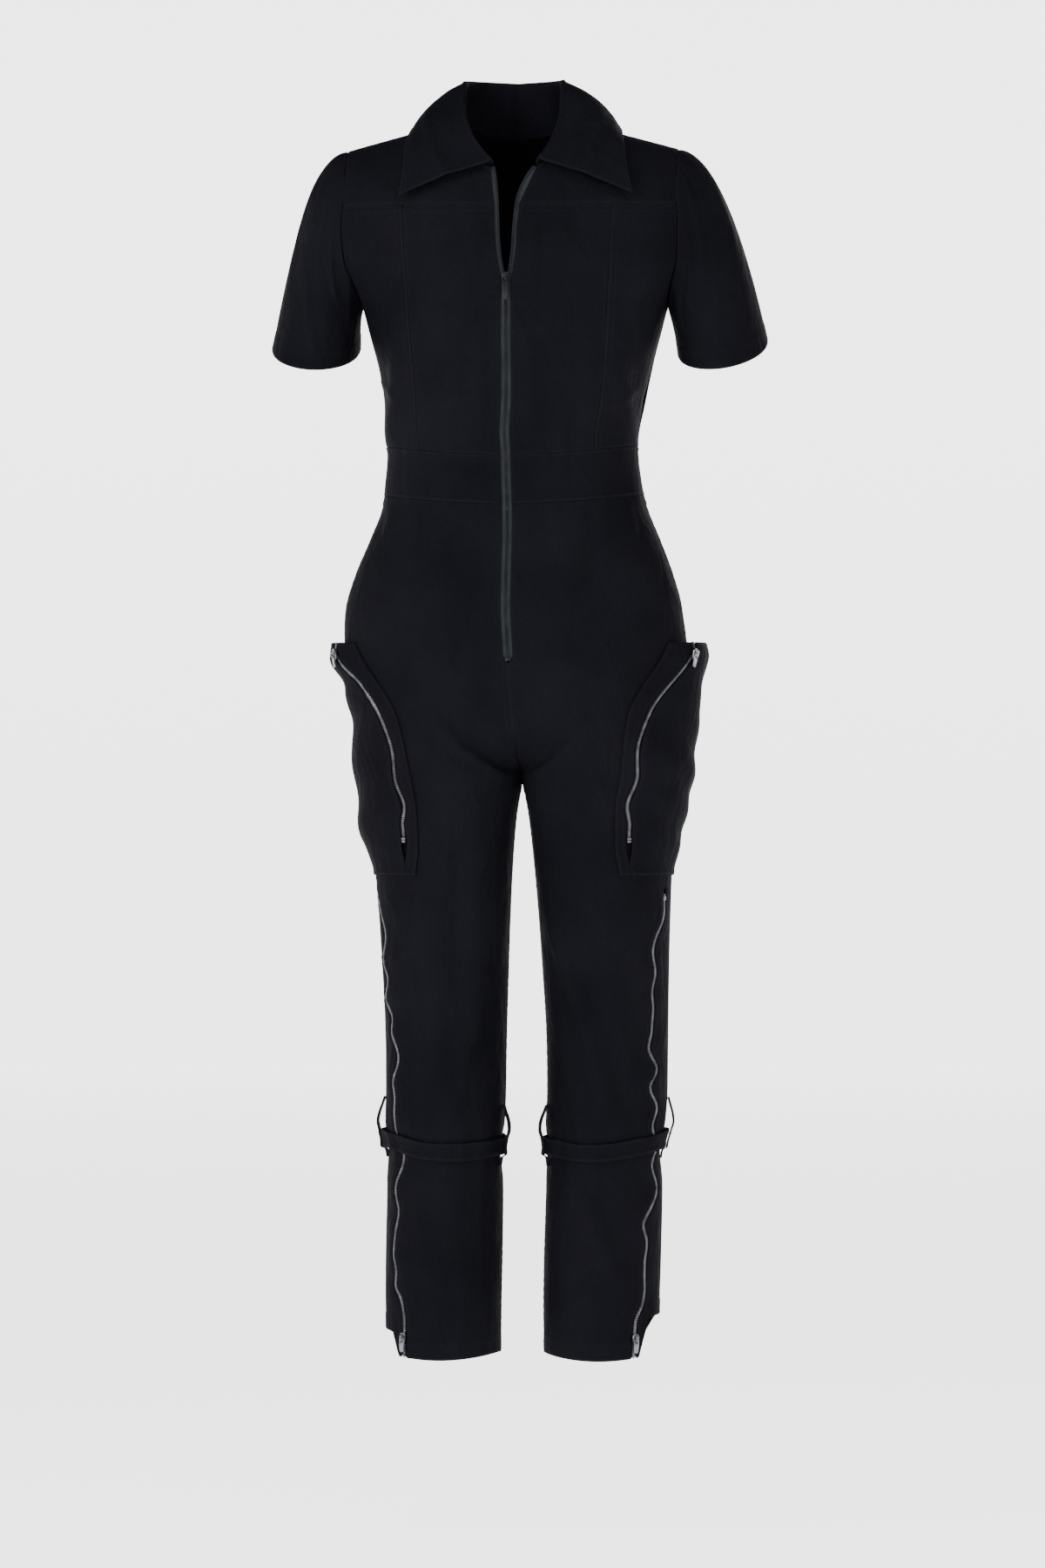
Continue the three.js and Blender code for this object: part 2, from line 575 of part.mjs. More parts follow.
// One turn round the armhole: front rows down, back rows up. Left and right share it, mirrored.
const ARM_RING = [
  ...ARM_STATIONS.map((z) => ({ z, back: false })),
  ...ARM_STATIONS.slice(1, -1).reverse().map((z) => ({ z, back: true })),
].map(({ z, back }) => {
  const { p, n } = trunk(1, at(ARMHOLE, "x", z), z, back);
  if (z === TIP.z || z === UNDERARM_Z) p.y = 0;
  p.x -= at(BODY, "centre", z);
  const cosTurn = clamp((z - ARM_MIDDLE) / ARM_REACH, -1, 1);
  const sinTurn = (back ? -1 : 1) * Math.sqrt(1 - cosTurn ** 2);
  return { z, p, n, cosTurn, sinTurn };
});

// Sleeve surface: k runs from the armhole to the hem
function sleevePoint(side, i, k) {
  const s = SLEEVE[sideName(side)];
  const a = ARM_RING[i % ARM_RING.length];
  const middleX = (s.outerX + s.innerX) / 2;
  const halfX = (s.outerX - s.innerX) / 2;
  const end = new THREE.Vector3(
    middleX + halfX * a.cosTurn,
    s.y - s.deep * a.sinTurn,
    lerp(s.innerZ, s.outerZ, (1 + a.cosTurn) / 2) - s.tip * a.sinTurn,
  );
  const k2 = k * k;
  const k3 = k2 * k;
  return new THREE.Vector3(a.start || 0, 0, 0)
    .add(a.p)
    .multiplyScalar(2 * k3 - 3 * k2 + 1)
    .addScaledVector(sleeveStart(a.cosTurn), k3 - 2 * k2 + k)
    .addScaledVector(end, 3 * k2 - 2 * k3)
    .addScaledVector(sleeveEnd(a.cosTurn), k3 - k2);
}

function sleeveNormal(side, i, k) {
  const n = ARM_RING.length;
  const round = sleevePoint(side, i + 1, k).sub(sleevePoint(side, i - 1 + n, k));
  const along = sleevePoint(side, i, k + 0.01).sub(sleevePoint(side, i, Math.max(0, k - 0.01)));
  return round.cross(along).normalize();
}

// The sleeve starts further out where its wall turns away from the torso's wall, as it does at the underarm
ARM_RING.map((a, i) => CLEAR + CLOTH * sleeveNormal(1, i, 0).distanceTo(a.n)).forEach((start, i) => {
  ARM_RING[i].start = start;
});

// Neckline point of the front or back at a share of its length
function neckPoint(side, t, back) {
  const table = (back ? NECK_BACK : NECK_FRONT).map((r, i, all) => ({ ...r, t: i / (all.length - 1) }));
  const z = at(table, "z", t, "t");
  let x = at(table, "x", t, "t");
  if (!back) x += (openX(side, ZIP_TOP_Z) - table[0].x) * (1 - t) ** 2;
  return { x, z };
}

const NECK_SHARE = 3 / 8; // columns of a front that end at the neckline
// Top edge of a front or back at column share c: neckline, then shoulder seam
function topEdge(side, c, back) {
  if (c < NECK_SHARE) return neckPoint(side, c / NECK_SHARE, false);
  const x = lerp(NECK_HALF, TIP.x, (c - NECK_SHARE) / (1 - NECK_SHARE));
  return { x, z: ridge(x) };
}
function topEdgeBack(c) {
  if (c < NECK_SHARE) return neckPoint(1, 1 - c / NECK_SHARE, true);
  return topEdge(1, c, true);
}

// Columns of the yoke seam: centre front zone, then side front zone
const YOKE_COLS = [
  ...CENTRE_COLS.map((c) => ({ c, zone: 0 })),
  ...SIDE_COLS.slice(1).map((c) => ({ c, zone: 1 })),
];
function seamX(side, col, z) {
  const princess = at(PRINCESS, "x", z);
  return col.zone === 0 ? lerp(openX(side, z), princess, col.c) : sideX(princess, edgeX(z), col.c);
}

function yokeGrid(side) {
  return YOKE_COLS.map((col, i) => {
    const share = i / (YOKE_COLS.length - 1);
    const top = topEdge(side, share, false);
    const low = { x: seamX(side, col, YOKE_Z), z: YOKE_Z };
    return YOKE_ROWS.map((t, j) => {
      const first = j === 0;
      const last = j === YOKE_ROWS.length - 1;
      let x = lerp(top.x, low.x, t);
      let z = lerp(top.z, low.z, t);
      if (last) z += SEAM;
      if (i === YOKE_COLS.length - 1) x = at(ARMHOLE, "x", z) - (first ? SEAM : 0);
      const inShoulder = share >= NECK_SHARE - 1e-9;
      if (first && inShoulder) z = ridge(x) - 0.02;
      const s = trunk(side, x, z, false);
      if (first && inShoulder) s.p.y = -SEAM;
      return s;
    });
  });
}

// Keeps a point off the very edge of the section, where its depth falls steeply
const insideHalf = (x, z) => Math.min(x, at(BODY, "half", z) - CLEAR);

// Centre front (zone 0) or side front (zone 1)
function frontGrid(side, zone) {
  const cols = YOKE_COLS.filter((c) => c.zone === zone);
  if (zone === 1) cols.unshift({ c: 0, zone: 1 });
  return cols.map((col, i) => BODICE_ROWS.map((row, j) => {
    const lastRow = j === BODICE_ROWS.length - 1;
    const lastCol = i === cols.length - 1;
    const topGap = j === 0 ? SEAM : 0;
    let x = seamX(side, col, row.z);
    if (zone === 0 && lastCol) x -= SEAM;
    if (zone === 1 && i === 0) x += SEAM;
    const z = bodiceZ(row, x, -topGap, lastRow ? SEAM : 0);
    if (zone === 1 && lastCol && row.z > UNDERARM_Z) return trunk(side, x, row.z - topGap, false);
    if (zone === 1 && lastCol) return sideSeam(trunk(side, at(BODY, "half", z), z, false), false);
    return trunk(side, lastCol ? x : insideHalf(x, z), z, false);
  }));
}

function addBodice(side) {
  const name = sideName(side);
  addMesh("front_yoke_" + name, clothWall(yokeGrid(side)), CLOTH_LOOK);
  addMesh("centre_front_" + name, clothWall(frontGrid(side, 0)), CLOTH_LOOK);
  addMesh("side_front_" + name, clothWall(frontGrid(side, 1)), CLOTH_LOOK);
}

// Columns of the back, a little nearer the middle than the front's princess seam
const BACK_SHARE = 0.92;
function backX(col, z) {
  const princess = at(PRINCESS, "x", z) * BACK_SHARE;
  return col.zone === 0 ? lerp(0, princess, col.c) : sideX(princess, edgeX(z), col.c);
}

function addBack() {
  const half = (side) => YOKE_COLS.map((col, i) => {
    const share = i / (YOKE_COLS.length - 1);
    const edge = i === YOKE_COLS.length - 1;
    const top = topEdgeBack(share);
    const seam = (z) => backX(col, z);
    const upper = YOKE_ROWS.slice(0, -1).map((t, j) => {
      const first = j === 0;
      let x = lerp(top.x, seam(YOKE_Z), t);
      let z = lerp(top.z, YOKE_Z, t);
      if (edge) x = at(ARMHOLE, "x", z) - (first ? SEAM : 0);
      const inShoulder = share >= NECK_SHARE - 1e-9;
      if (first && inShoulder) z = ridge(x) - 0.02;
      const s = trunk(side, x, z, true);
      if (first && inShoulder) s.p.y = SEAM;
      return s;
    });
    const lower = BODICE_ROWS.map((row, j) => {
      const lastRow = j === BODICE_ROWS.length - 1;
      const x = seam(row.z);
      const z = bodiceZ(row, x, 0, lastRow ? SEAM : 0);
      if (edge && row.z > UNDERARM_Z) return trunk(side, x, row.z, true);
      if (edge) return sideSeam(trunk(side, at(BODY, "half", z), z, true), true);
      return trunk(side, insideHalf(x, z), z, true);
    });
    return [...upper, ...lower];
  });
  const left = half(-1).reverse();
  const right = half(1);
  addMesh("back_bodice", clothWall([...left, ...right.slice(1)]), CLOTH_LOOK);
}

function addSleeve(side) {
  const steps = [0, 0.1, 0.24, 0.4, 0.56, 0.72, 0.88, 1];
  const n = ARM_RING.length;
  const grid = Array.from({ length: n }, (_, i) => steps.map((k) => {
    const p = sleevePoint(side, i, k);
    const normal = sleeveNormal(side, i, k);
    p.x = side * p.x + at(BODY, "centre", ARM_RING[i].z) * (1 - k);
    normal.x *= side;
    return { p, n: normal };
  }));
  addMesh("sleeve_" + sideName(side), clothWall(grid, 0, CLOTH, (p) => p, true), CLOTH_LOOK);
}

// Point of the folded collar: s from the centre back to the front end, t from the neck seam over the roll to the edge
function collarPoint(side, s, t) {
  const rows = COLLAR[sideName(side)];
  const get = (column) => at(rows, column, s, "at");
  const back = s < 0.5;
  const share = back ? 1 - 2 * s : 2 - 2 * s;
  const cells = 3;
  const cell = clamp(Math.floor(share * cells), 0, cells - 1);
  const seatAt = (k) => {
    const neck = neckPoint(side, k / cells, back);
    return trunk(side, neck.x, neck.z, back).p;
  };
  const seat = seatAt(cell).lerp(seatAt(cell + 1), share * cells - cell);
  const base = new THREE.Vector3(side * seat.x, seat.y, seat.z);
  const inwards = new THREE.Vector3(-base.x, -base.y, 0).normalize();
  base.addScaledVector(inwards, 0.6).setZ(base.z + 0.6);
  const roll = new THREE.Vector3(get("rollX"), get("rollY"), get("rollZ"));
  const edge = new THREE.Vector3(get("edgeX"), get("edgeY"), get("edgeZ"));
  const out = new THREE.Vector3(edge.x - roll.x, edge.y - roll.y, 0).normalize();
  const foldIn = roll.clone().addScaledVector(out, -2.2).setZ(roll.z - 3);
  const foldOut = roll.clone().addScaledVector(out, 2.8).setZ(roll.z - 2.5);
  const bow = new THREE.Vector3(out.x, out.y, 1).normalize().multiplyScalar(get("lift"));
  const middle = foldOut.clone().lerp(edge, 0.5).add(bow);
  const path = [base, foldIn, roll, foldOut, middle, edge];
  const stops = [0, 0.32, 0.39, 0.46, 0.72, 1];
  let i = 0;
  while (i < stops.length - 2 && t > stops[i + 1]) i += 1;
  const local = (t - stops[i]) / (stops[i + 1] - stops[i]);
  if (i < 3) return path[i].clone().lerp(path[i + 1], local);
  const leaf = new THREE.QuadraticBezierCurve3(
    foldOut,
    middle.clone().multiplyScalar(2).addScaledVector(foldOut, -0.5).addScaledVector(edge, -0.5),
    edge,
  );
  return leaf.getPoint((t - stops[3]) / (1 - stops[3]));
}

function addCollar() {
  const across = [0, 0.16, 0.32, 0.39, 0.46, 0.56, 0.67, 0.78, 0.89, 1];
  const along = stations(0, 1, 12);
  const column = (side, s) => across.map((t) => {
    const here = collarPoint(side, s, t);
    const s0 = Math.max(0, s - 0.01);
    const s1 = Math.min(1, s + 0.01);
    const t0 = Math.max(0, t - 0.03);
    const t1 = Math.min(1, t + 0.03);
    const ds = collarPoint(side, s1, t).sub(collarPoint(side, s0, t));
    const dt = collarPoint(side, s, t1).sub(collarPoint(side, s, t0));
    const n = ds.cross(dt).normalize();
    if (s === 0) n.x = 0;
    return { p: new THREE.Vector3(side * here.x, here.y, here.z), n: new THREE.Vector3(side * n.x, n.y, n.z) };
  });
  const left = along.map((s) => column(-1, s)).reverse();
  const right = along.slice(1).map((s) => column(1, s));
  addMesh("collar", clothWall([...left, ...right]), CLOTH_LOOK);
}

const TURNS = stations(0, 1, 8);
function waistbandRows() {
  return [
    { z: WAIST_TOP_Z, gap: -SEAM },
    { z: -403, gap: 0 },
    { z: -422, gap: 0 },
    { z: WAIST_BOTTOM_Z, gap: SEAM },
  ];
}

// Distance out of a waistband column, the same as the bodice's above it
function waistX(side, i, z, back) {
  return back ? backX(YOKE_COLS[i], z) : seamX(side, YOKE_COLS[i], z);
}

function waistbandColumn(side, i, back) {
  return waistbandRows().map((row) => {
    const last = i === YOKE_COLS.length - 1;
    const x = waistX(side, i, row.z, back);
    const z = seamZ(row.z, x) + row.gap;
    if (last) return sideSeam(trunk(side, at(BODY, "half", z), z, back), back);
    return trunk(side, insideHalf(x, z), z, back);
  });
}

function addWaistband() {
  for (const side of [-1, 1]) {
    const grid = YOKE_COLS.map((_, i) => waistbandColumn(side, i, false));
    addMesh("waistband_front_" + sideName(side), clothWall(grid), CLOTH_LOOK);
  }
  const left = YOKE_COLS.map((_, i) => waistbandColumn(-1, i, true)).reverse();
  const right = YOKE_COLS.slice(1).map((_, i) => waistbandColumn(1, i + 1, true));
  addMesh("waistband_back", clothWall([...left, ...right]), CLOTH_LOOK);
}

// Rows of the trousers below the waistband
const HEM_ROW_ABOVE = -1390;
const TROUSER_Z = [
  WAIST_BOTTOM_Z, -466, -496, -530, -565, -594, ZIP_END_Z, -640, -662, -682, -702, -718, -731, -741,
  CROTCH_Z, -762, -782, -804, POCKET_ZIP_END_Z, -845, POCKET_END_Z, LEG_ZIP_TOP_Z, -910, -938, -966,
  -994, -1022, -1048, -1072, -1094, -1114, -1132, -1149, -1164, -1180, -1196, -1214, -1240, -1270,
  -1300, -1330, -1360, HEM_ROW_ABOVE, HEM_Z,
];

// Turn of the outseam: the side seam above, the zip's line on the leg
function outseamTurn(side, z) {
  const zip = turnAt(at(LEG_ZIP, sideName(side), Math.min(z, -860)), Math.min(z, -860), false);
  return lerp(Math.PI, zip, smooth((-640 - z) / 220));
}

// Edge of a front at the outseam: close at the side seam, held back for the zip on the leg
const outseamGap = (z) => lerp(SEAM, ZIP_EDGE - 2, smooth((LEG_ZIP_TOP_Z + 26 - z) / 22));

// The hem dips a little in front and rises towards the zip
const hemZ = (turn) => 4 * Math.cos(2 * turn) + 3;

// Beside the zip the back's hem is drawn up, which rounds its corner. Distances are along the hem from the zip.
const HEM_CORNER = { left: 26, right: 44, start: 5, rise: 18, end: 135, fall: 60, top: -1300 };
function hemCorner(side, away, row) {
  const low = clamp((HEM_CORNER.top - row) / (HEM_CORNER.top - HEM_Z), 0, 1) ** 2;
  const near = smooth((away - HEM_CORNER.start) / HEM_CORNER.rise);
  return HEM_CORNER[sideName(side)] * low * near * smooth((HEM_CORNER.end - away) / HEM_CORNER.fall);
}

function trouserGrid(side, back) {
  return TURNS.map((share, i) => TROUSER_Z.map((row, j) => {
    const first = i === 0;
    const last = i === TURNS.length - 1;
    const seam = outseamTurn(side, row);
    const gap = outseamGap(row) / radius(seam, row);
    const sign = back ? -1 : 1;
    const inner = back ? 2 * Math.PI : 0;
    let start = inner;
    if (!back && row > ZIP_END_Z - 1) start = turnAt(ZIP_EDGE, row, false);
    if (row <= CROTCH_Z) start = inner + (sign * SEAM) / radius(inner + sign * 0.02, row);
    const evenTurn = lerp(start, seam - sign * gap, share);
    const atWaist = last ? seam - sign * gap : turnAt(waistX(side, i, row, back), row, back);
    const nearWaist = smooth((row + 560) / 100);
    const turn = lerp(evenTurn, first ? start : atWaist, nearWaist);
    const [x] = ringPoint(turn, row);
    let z = row + WAIST_LIFT * nearWaist * (x / at(BODY, "half", row)) ** 2;
    if (j === 0) z -= 2 * SEAM;
    if (back) z += hemCorner(side, (turn - seam) * radius(seam, row), row);
    if (row === HEM_Z) z += hemZ(turn);
    if (row === HEM_ROW_ABOVE) z += 0.6 * hemZ(turn);
    return trousers(side, turn, z);
  }));
}

function addTrousers(side) {
  for (const back of [false, true]) {
    const name = (back ? "trouser_back_" : "trouser_front_") + sideName(side);
    addMesh(name, clothWall(trouserGrid(side, back), 0, CLOTH, keepSide(side)), CLOTH_LOOK);
  }
}

// Strip along a line of a surface: stations with the points of its two edges, thickened between two heights
function stripWall(sections, low, high) {
  const move = (h) => sections.map((row) => row.map((s) => s.p.clone().addScaledVector(s.n, h)));
  return wall(move(low), move(high));
}

// Point at a distance from a panel's edge: positive under the cloth, negative beyond the edge
function fromEdge(edge, next, distance) {
  const share = distance / edge.p.distanceTo(next.p);
  return { p: edge.p.clone().lerp(next.p, share), n: edge.n.clone().lerp(next.n, clamp(share, 0, 1)) };
}

// Edge points of the fronts along the whole zip, from the neckline down, with their neighbours
function frontEdge(side) {
  const grids = [
    yokeGrid(side),
    frontGrid(side, 0),
    [0, 1].map((i) => waistbandColumn(side, i, false)),
    trouserGrid(side, false).slice(0, 2),
  ];
  const pairs = [];
  grids.forEach((grid, k) => grid[0].forEach((edge, j) => {
    if (k > 0 && j === 0) return;
    if (edge.p.z > ZIP_END_Z - 1) pairs.push({ edge, next: grid[1][j], z: edge.p.z });
  }));
  return pairs;
}

// Front zip: tapes under the cloth's edges, open teeth above the slider, closed chain below
const TAPE_BEYOND = 5.1;
const TAPE_DROP = 0.5; // under the cloth's inner face
const TEETH = [-5.3, -2.8]; // open teeth, beyond the cloth's edge
function addFrontZip() {
  const chainSides = [];
  for (const side of [-1, 1]) {
    const name = sideName(side);
    const pairs = frontEdge(side);
    const tape = pairs.map(({ edge, next }) => [-TAPE_BEYOND, 0, UNDER_CLOTH].map((d) => fromEdge(edge, next, d)));
    addMesh("front_zip_tape_" + name, stripWall(tape, -TAPE_DROP - TAPE, -TAPE_DROP), TAPE_LOOK);
    const open = pairs.filter(({ z }) => z > SLIDER_Z + 4);
    const teeth = open.map(({ edge, next }) => TEETH.map((d) => fromEdge(edge, next, d)));
    addMesh("front_zip_teeth_" + name, stripWall(teeth, 0, CHAIN_HIGH), GUNMETAL_LOOK);
    const closed = pairs.filter(({ z }) => z < SLIDER_Z + 1);
    chainSides.push(closed.map(({ edge, next }) => fromEdge(edge, next, CHAIN_HALF - ZIP_EDGE)));
  }
  const chain = chainSides[0].map((s, j) => [s, chainSides[1][j]]);
  addMesh("front_zip_chain", stripWall(chain, 0, CHAIN_HIGH), GUNMETAL_LOOK);
}

// Zip slider with an arched bridge, and its pull tab. Built upright at the origin, face towards -Y.
const SLIDER = { wide: 9, high: 13, thick: 2.2, archHigh: 3.7, bar: 1.1, bridge: 3 };
const TAB = { wide: 7, thick: 1.3, hole: 4.8, holeHigh: 5.4 };

function manifoldOf(geometry) {
  const flat = geometry.index ? geometry.toNonIndexed() : geometry;
  const p = flat.getAttribute("position").array;
  const keys = new Map();
  const verts = [];
  const tris = [];
  for (let i = 0; i < p.length; i += 3) {
    const key = [p[i], p[i + 1], p[i + 2]].map((v) => v.toFixed(4)).join();
    if (!keys.has(key)) {
      keys.set(key, verts.length / 3);
      verts.push(p[i], p[i + 1], p[i + 2]);
    }
    tris.push(keys.get(key));
  }
  const mesh = { numProp: 3, vertProperties: new Float32Array(verts), triVerts: new Uint32Array(tris) };
  return new wasm.Manifold(new wasm.Mesh(mesh));
}

function geometryOf(solid) {
  const m = solid.getMesh();
  const geometry = new THREE.BufferGeometry();
  geometry.setAttribute("position", new THREE.BufferAttribute(new Float32Array(m.vertProperties), 3));
  geometry.setIndex(new THREE.BufferAttribute(new Uint32Array(m.triVerts), 1));
  return geometry;
}

function extruded(points, deep) {
  const shape = new THREE.Shape(points.map(([x, y]) => new THREE.Vector2(x, y)));
  return new THREE.ExtrudeGeometry(shape, { depth: deep, bevelEnabled: false });
}

function sliderGeometry() {
  const w = SLIDER.wide / 2;
  const h = SLIDER.high / 2;
  const outline = [[0.55 * w, -h], [0.8 * w, -0.3 * h], [w, 0.5 * h], [0.6 * w, h]];
  const mirrored = outline.map(([x, y]) => [-x, y]).reverse();
  const plate = extruded([...outline, ...mirrored], SLIDER.thick);
  plate.rotateX(Math.PI / 2);
  const a = SLIDER.archHigh;
  const b = SLIDER.bar;
  const top = h - 1.6;
  const low = -h * 0.55;
  const foot = -0.4; // the bridge reaches into the plate
  const outside = [[low, foot], [low, 0.6 * a], [low + 1.2, a], [top - 1.2, a], [top, 0.6 * a], [top, foot]];
  const under = a - b;
  const inside = [
    [top - b, foot], [top - b, under - 0.9], [top - b - 0.6, under],
    [low + b + 0.6, under], [low + b, under - 0.9], [low + b, foot],
  ];
  const side = extruded([...outside, ...inside], SLIDER.bridge);
  const turn = new THREE.Matrix4().set(0, 0, 1, -SLIDER.bridge / 2, 0, -1, 0, -SLIDER.thick, 1, 0, 0, 0, 0, 0, 0, 1);
  side.applyMatrix4(turn);
  const plateSolid = manifoldOf(plate);
  const bridgeSolid = manifoldOf(side);
  const solid = plateSolid.add(bridgeSolid.volume() < 0 ? bridgeSolid.mirror([0, 0, 0]) : bridgeSolid);
  return geometryOf(solid);
}

const PIVOT = { z: 1.4, y: -(SLIDER.thick + 1.15) }; // of the tab's bar, under the bridge
function tabGeometry(length) {
  const w = TAB.wide / 2;
  const plate = extruded([
    [-w, -5], [-w * 0.86, 0.4], [-w * 0.6, 0.7], [w * 0.6, 0.7], [w * 0.86, 0.4], [w, -5],
    [w * 0.82, -length + 2], [w * 0.5, -length], [-w * 0.5, -length], [-w * 0.82, -length + 2],
  ], TAB.thick);
  const hole = new THREE.BoxGeometry(TAB.hole, TAB.holeHigh, 4 * TAB.thick);
  hole.translate(0, -0.7 - TAB.holeHigh / 2, 0);
  const geometry = geometryOf(manifoldOf(plate).subtract(manifoldOf(hole)));
  geometry.rotateX(Math.PI / 2);
  geometry.translate(0, PIVOT.y + TAB.thick / 2, PIVOT.z);
  return geometry;
}

// Places an upright fitting on a surface point: y to the outside, z along the zip's upward direction
function addPull(name, point, up, lift, length, look) {
  const out = point.n.clone().normalize();
  const along = up.clone().addScaledVector(out, -up.dot(out)).normalize();
  const across = along.clone().cross(out).normalize();
  const place = new THREE.Matrix4().makeBasis(across, out.clone().negate(), along);
  place.setPosition(point.p.clone().addScaledVector(out, lift));
  addMesh(name + "_slider", sliderGeometry().applyMatrix4(place), look);
  const tab = addMesh(name + "_pull_tab", tabGeometry(length).applyMatrix4(place), look);
  // The tab swings about its bar. A positive turn lifts it off the cloth.
  tab.userData.pivot = new THREE.Vector3(0, PIVOT.y, PIVOT.z).applyMatrix4(place);
  tab.userData.axis = across.clone().negate();
}

// Pocket: bag domed off the leg, with its zip along the front edge
const pocketTurn = (column, z) => turnAt(at(POCKET, column, z), z, false);
function bagHeight(side, share, z) {
  const high = at(POCKET, side < 0 ? "bagLeft" : "bagRight", z);
  const rim = smooth((z - POCKET_END_Z) / 46);
  const round = Math.sin(Math.PI * clamp(share, 0, 1)) ** 0.7;
  const wrinkle = 1 + 0.05 * Math.sin(z / 13 + 5 * share + side);
  return high * rim * round * wrinkle;
}

function pocketPoint(side, turn, z, share) {
  const s = trousers(side, turn, z);
  s.p.addScaledVector(s.n, CLOTH + POCKET_LIFT + bagHeight(side, share, z));
  return s;
}

const POCKET_ROWS = [POCKET_TOP_Z, ...TROUSER_Z.filter((z) => z < POCKET_TOP_Z && z >= POCKET_END_Z)];

// Limits of the bag at a height: front edge, zip and back edge as turns
function pocketLimits(z) {
  const edge = pocketTurn("edge", z);
  const half = z > CROTCH_Z ? at(BODY, "half", z) : at(LEG, "out", z) + at(LEG, "half", z);
  const zipX = Math.min(at(POCKET, "zip", z), half - 4);
  const backX = lerp(150, POCKET_BACK_X, smooth((-600 - z) / 120));
  return { edge, zip: turnAt(zipX, z, false), back: turnAt(backX, z, true) };
}
const shareOf = (turn, limits) => (turn - limits.edge) / (limits.back - limits.edge);

function addPocket(side) {
  const name = sideName(side);
  const point = (turn, z, limits) => pocketPoint(side, turn, z, shareOf(turn, limits));
  const strip = [];
  const bag = [];
  const chain = [];
  for (const z of POCKET_ROWS) {
    const limits = pocketLimits(z);
    const perMm = 1 / radius(limits.zip, z);
    const closing = smooth((POCKET_ZIP_END_Z - 6 - z) / 20);
    const gap = perMm * lerp(ZIP_EDGE - 2, SEAM, closing);
    strip.push([0, 0.5, 1].map((c) => point(lerp(limits.edge, limits.zip - gap, c), z, limits)));
    bag.push(stations(0, 1, 8).map((c) => point(lerp(limits.zip + gap, limits.back, c), z, limits)));
    if (z >= POCKET_ZIP_END_Z) {
      chain.push([-CHAIN_HALF, CHAIN_HALF].map((d) => point(limits.zip + d * perMm, z, limits)));
    }
  }
  addMesh("pocket_front_" + name, clothWall(strip), CLOTH_LOOK);
  addMesh("pocket_bag_" + name, clothWall(bag), CLOTH_LOOK);
  addMesh("pocket_zip_chain_" + name, stripWall(chain, 0, CHAIN_HIGH), SILVER_LOOK);
  const z = POCKET_SLIDER_Z;
  const limits = pocketLimits(z);
  const here = point(limits.zip, z, limits);
  const above = pocketLimits(z + 12);
  const up = point(above.zip, z + 12, above).p.sub(here.p);
  addPull("pocket_zip_" + name, here, up, 2.6, SMALL_TAB, SILVER_LOOK);
}

const ZIP_ABOVE_HEM = 3;
const LEG_SLIDER_Z = HEM_Z + 24;
function addLegZip(side) {
  const name = sideName(side);
  const front = trouserGrid(side, false);
  const back = trouserGrid(side, true);
  const last = TURNS.length - 1;
  const tape = [];
  const chain = [];
  TROUSER_Z.forEach((z, j) => {
    if (z > LEG_ZIP_TOP_Z) return;
    const [f, b] = [front[last][j], back[last][j]];
    const frontUnder = fromEdge(f, front[last - 1][j], LEG_UNDER_CLOTH);
    const backUnder = fromEdge(b, back[last - 1][j], LEG_UNDER_CLOTH);
    tape.push([frontUnder, f, b, backUnder]);
    const half = CHAIN_HALF / f.p.distanceTo(b.p);
    const middle = (t) => ({ p: f.p.clone().lerp(b.p, t), n: f.n.clone().lerp(b.n, t).normalize() });
    chain.push([middle(0.5 - half), middle(0.5 + half)]);
  });
  for (const s of [...tape[tape.length - 1], ...chain[chain.length - 1]]) s.p.z += ZIP_ABOVE_HEM;
  addMesh("leg_zip_tape_" + name, stripWall(tape, -2 * TAPE_DROP - TAPE, -2 * TAPE_DROP), TAPE_LOOK);
  addMesh("leg_zip_chain_" + name, stripWall(chain, 0, CHAIN_HIGH - 0.1), SILVER_LOOK);
  const spot = (height) => trousers(side, outseamTurn(side, height), height);
  const here = spot(LEG_SLIDER_Z);
  addPull("leg_zip_" + name, here, spot(LEG_SLIDER_Z + 12).p.sub(here.p), 2.3, SMALL_TAB, SILVER_LOOK);
}

// Knee strap: a band round the leg that waves a little. lift is from the leg's inner face.
const STRAP = { z: -1172, wave: 3.5, frontDrop: 5, outerLift: 4, high: 21, thick: 1.6, lift: 3.5, cells: 36 };
// Loops that hold the strap, at the turns outer and inner, where the strap swells a little
const LOOPS = { outer: Math.PI, inner: 0.22, swell: 3, reach: 0.32, half: 5, thick: 2.2 };
function strapMiddle(turn) {
  const drop = STRAP.frontDrop * Math.sin(turn) + STRAP.outerLift * Math.cos(turn);
  return STRAP.z + STRAP.wave * Math.cos(2 * turn) - drop;
}
function strapLift(turn) {
  const away = (t) => Math.atan2(Math.sin(turn - t), Math.cos(turn - t));
  const near = (t) => Math.exp(-((away(t) / LOOPS.reach) ** 2));
  return STRAP.lift + LOOPS.swell * (near(LOOPS.outer) + near(LOOPS.inner));
}

// Middle line of a loop: sewn to the leg above, standing off it in a bow, then down over the strap
function loopPath(middle) {
  const centre = strapMiddle(middle);
  const over = strapLift(middle) + STRAP.thick + 2 * CLEAR;
  const sewn = CLOTH + CLEAR;
  return [
    { z: centre + 46, lift: sewn },
    { z: centre + 38, lift: 4.5 },
    { z: centre + 28, lift: 8 },
    { z: centre + 18, lift: over + 1.2 },
    { z: centre + 11.5, lift: over + 0.4 },
    { z: centre, lift: over + 0.2 },
    { z: centre - 11.5, lift: over + 0.4 },
    { z: centre - 17, lift: 5 },
    { z: centre - 24, lift: sewn },
  ];
}

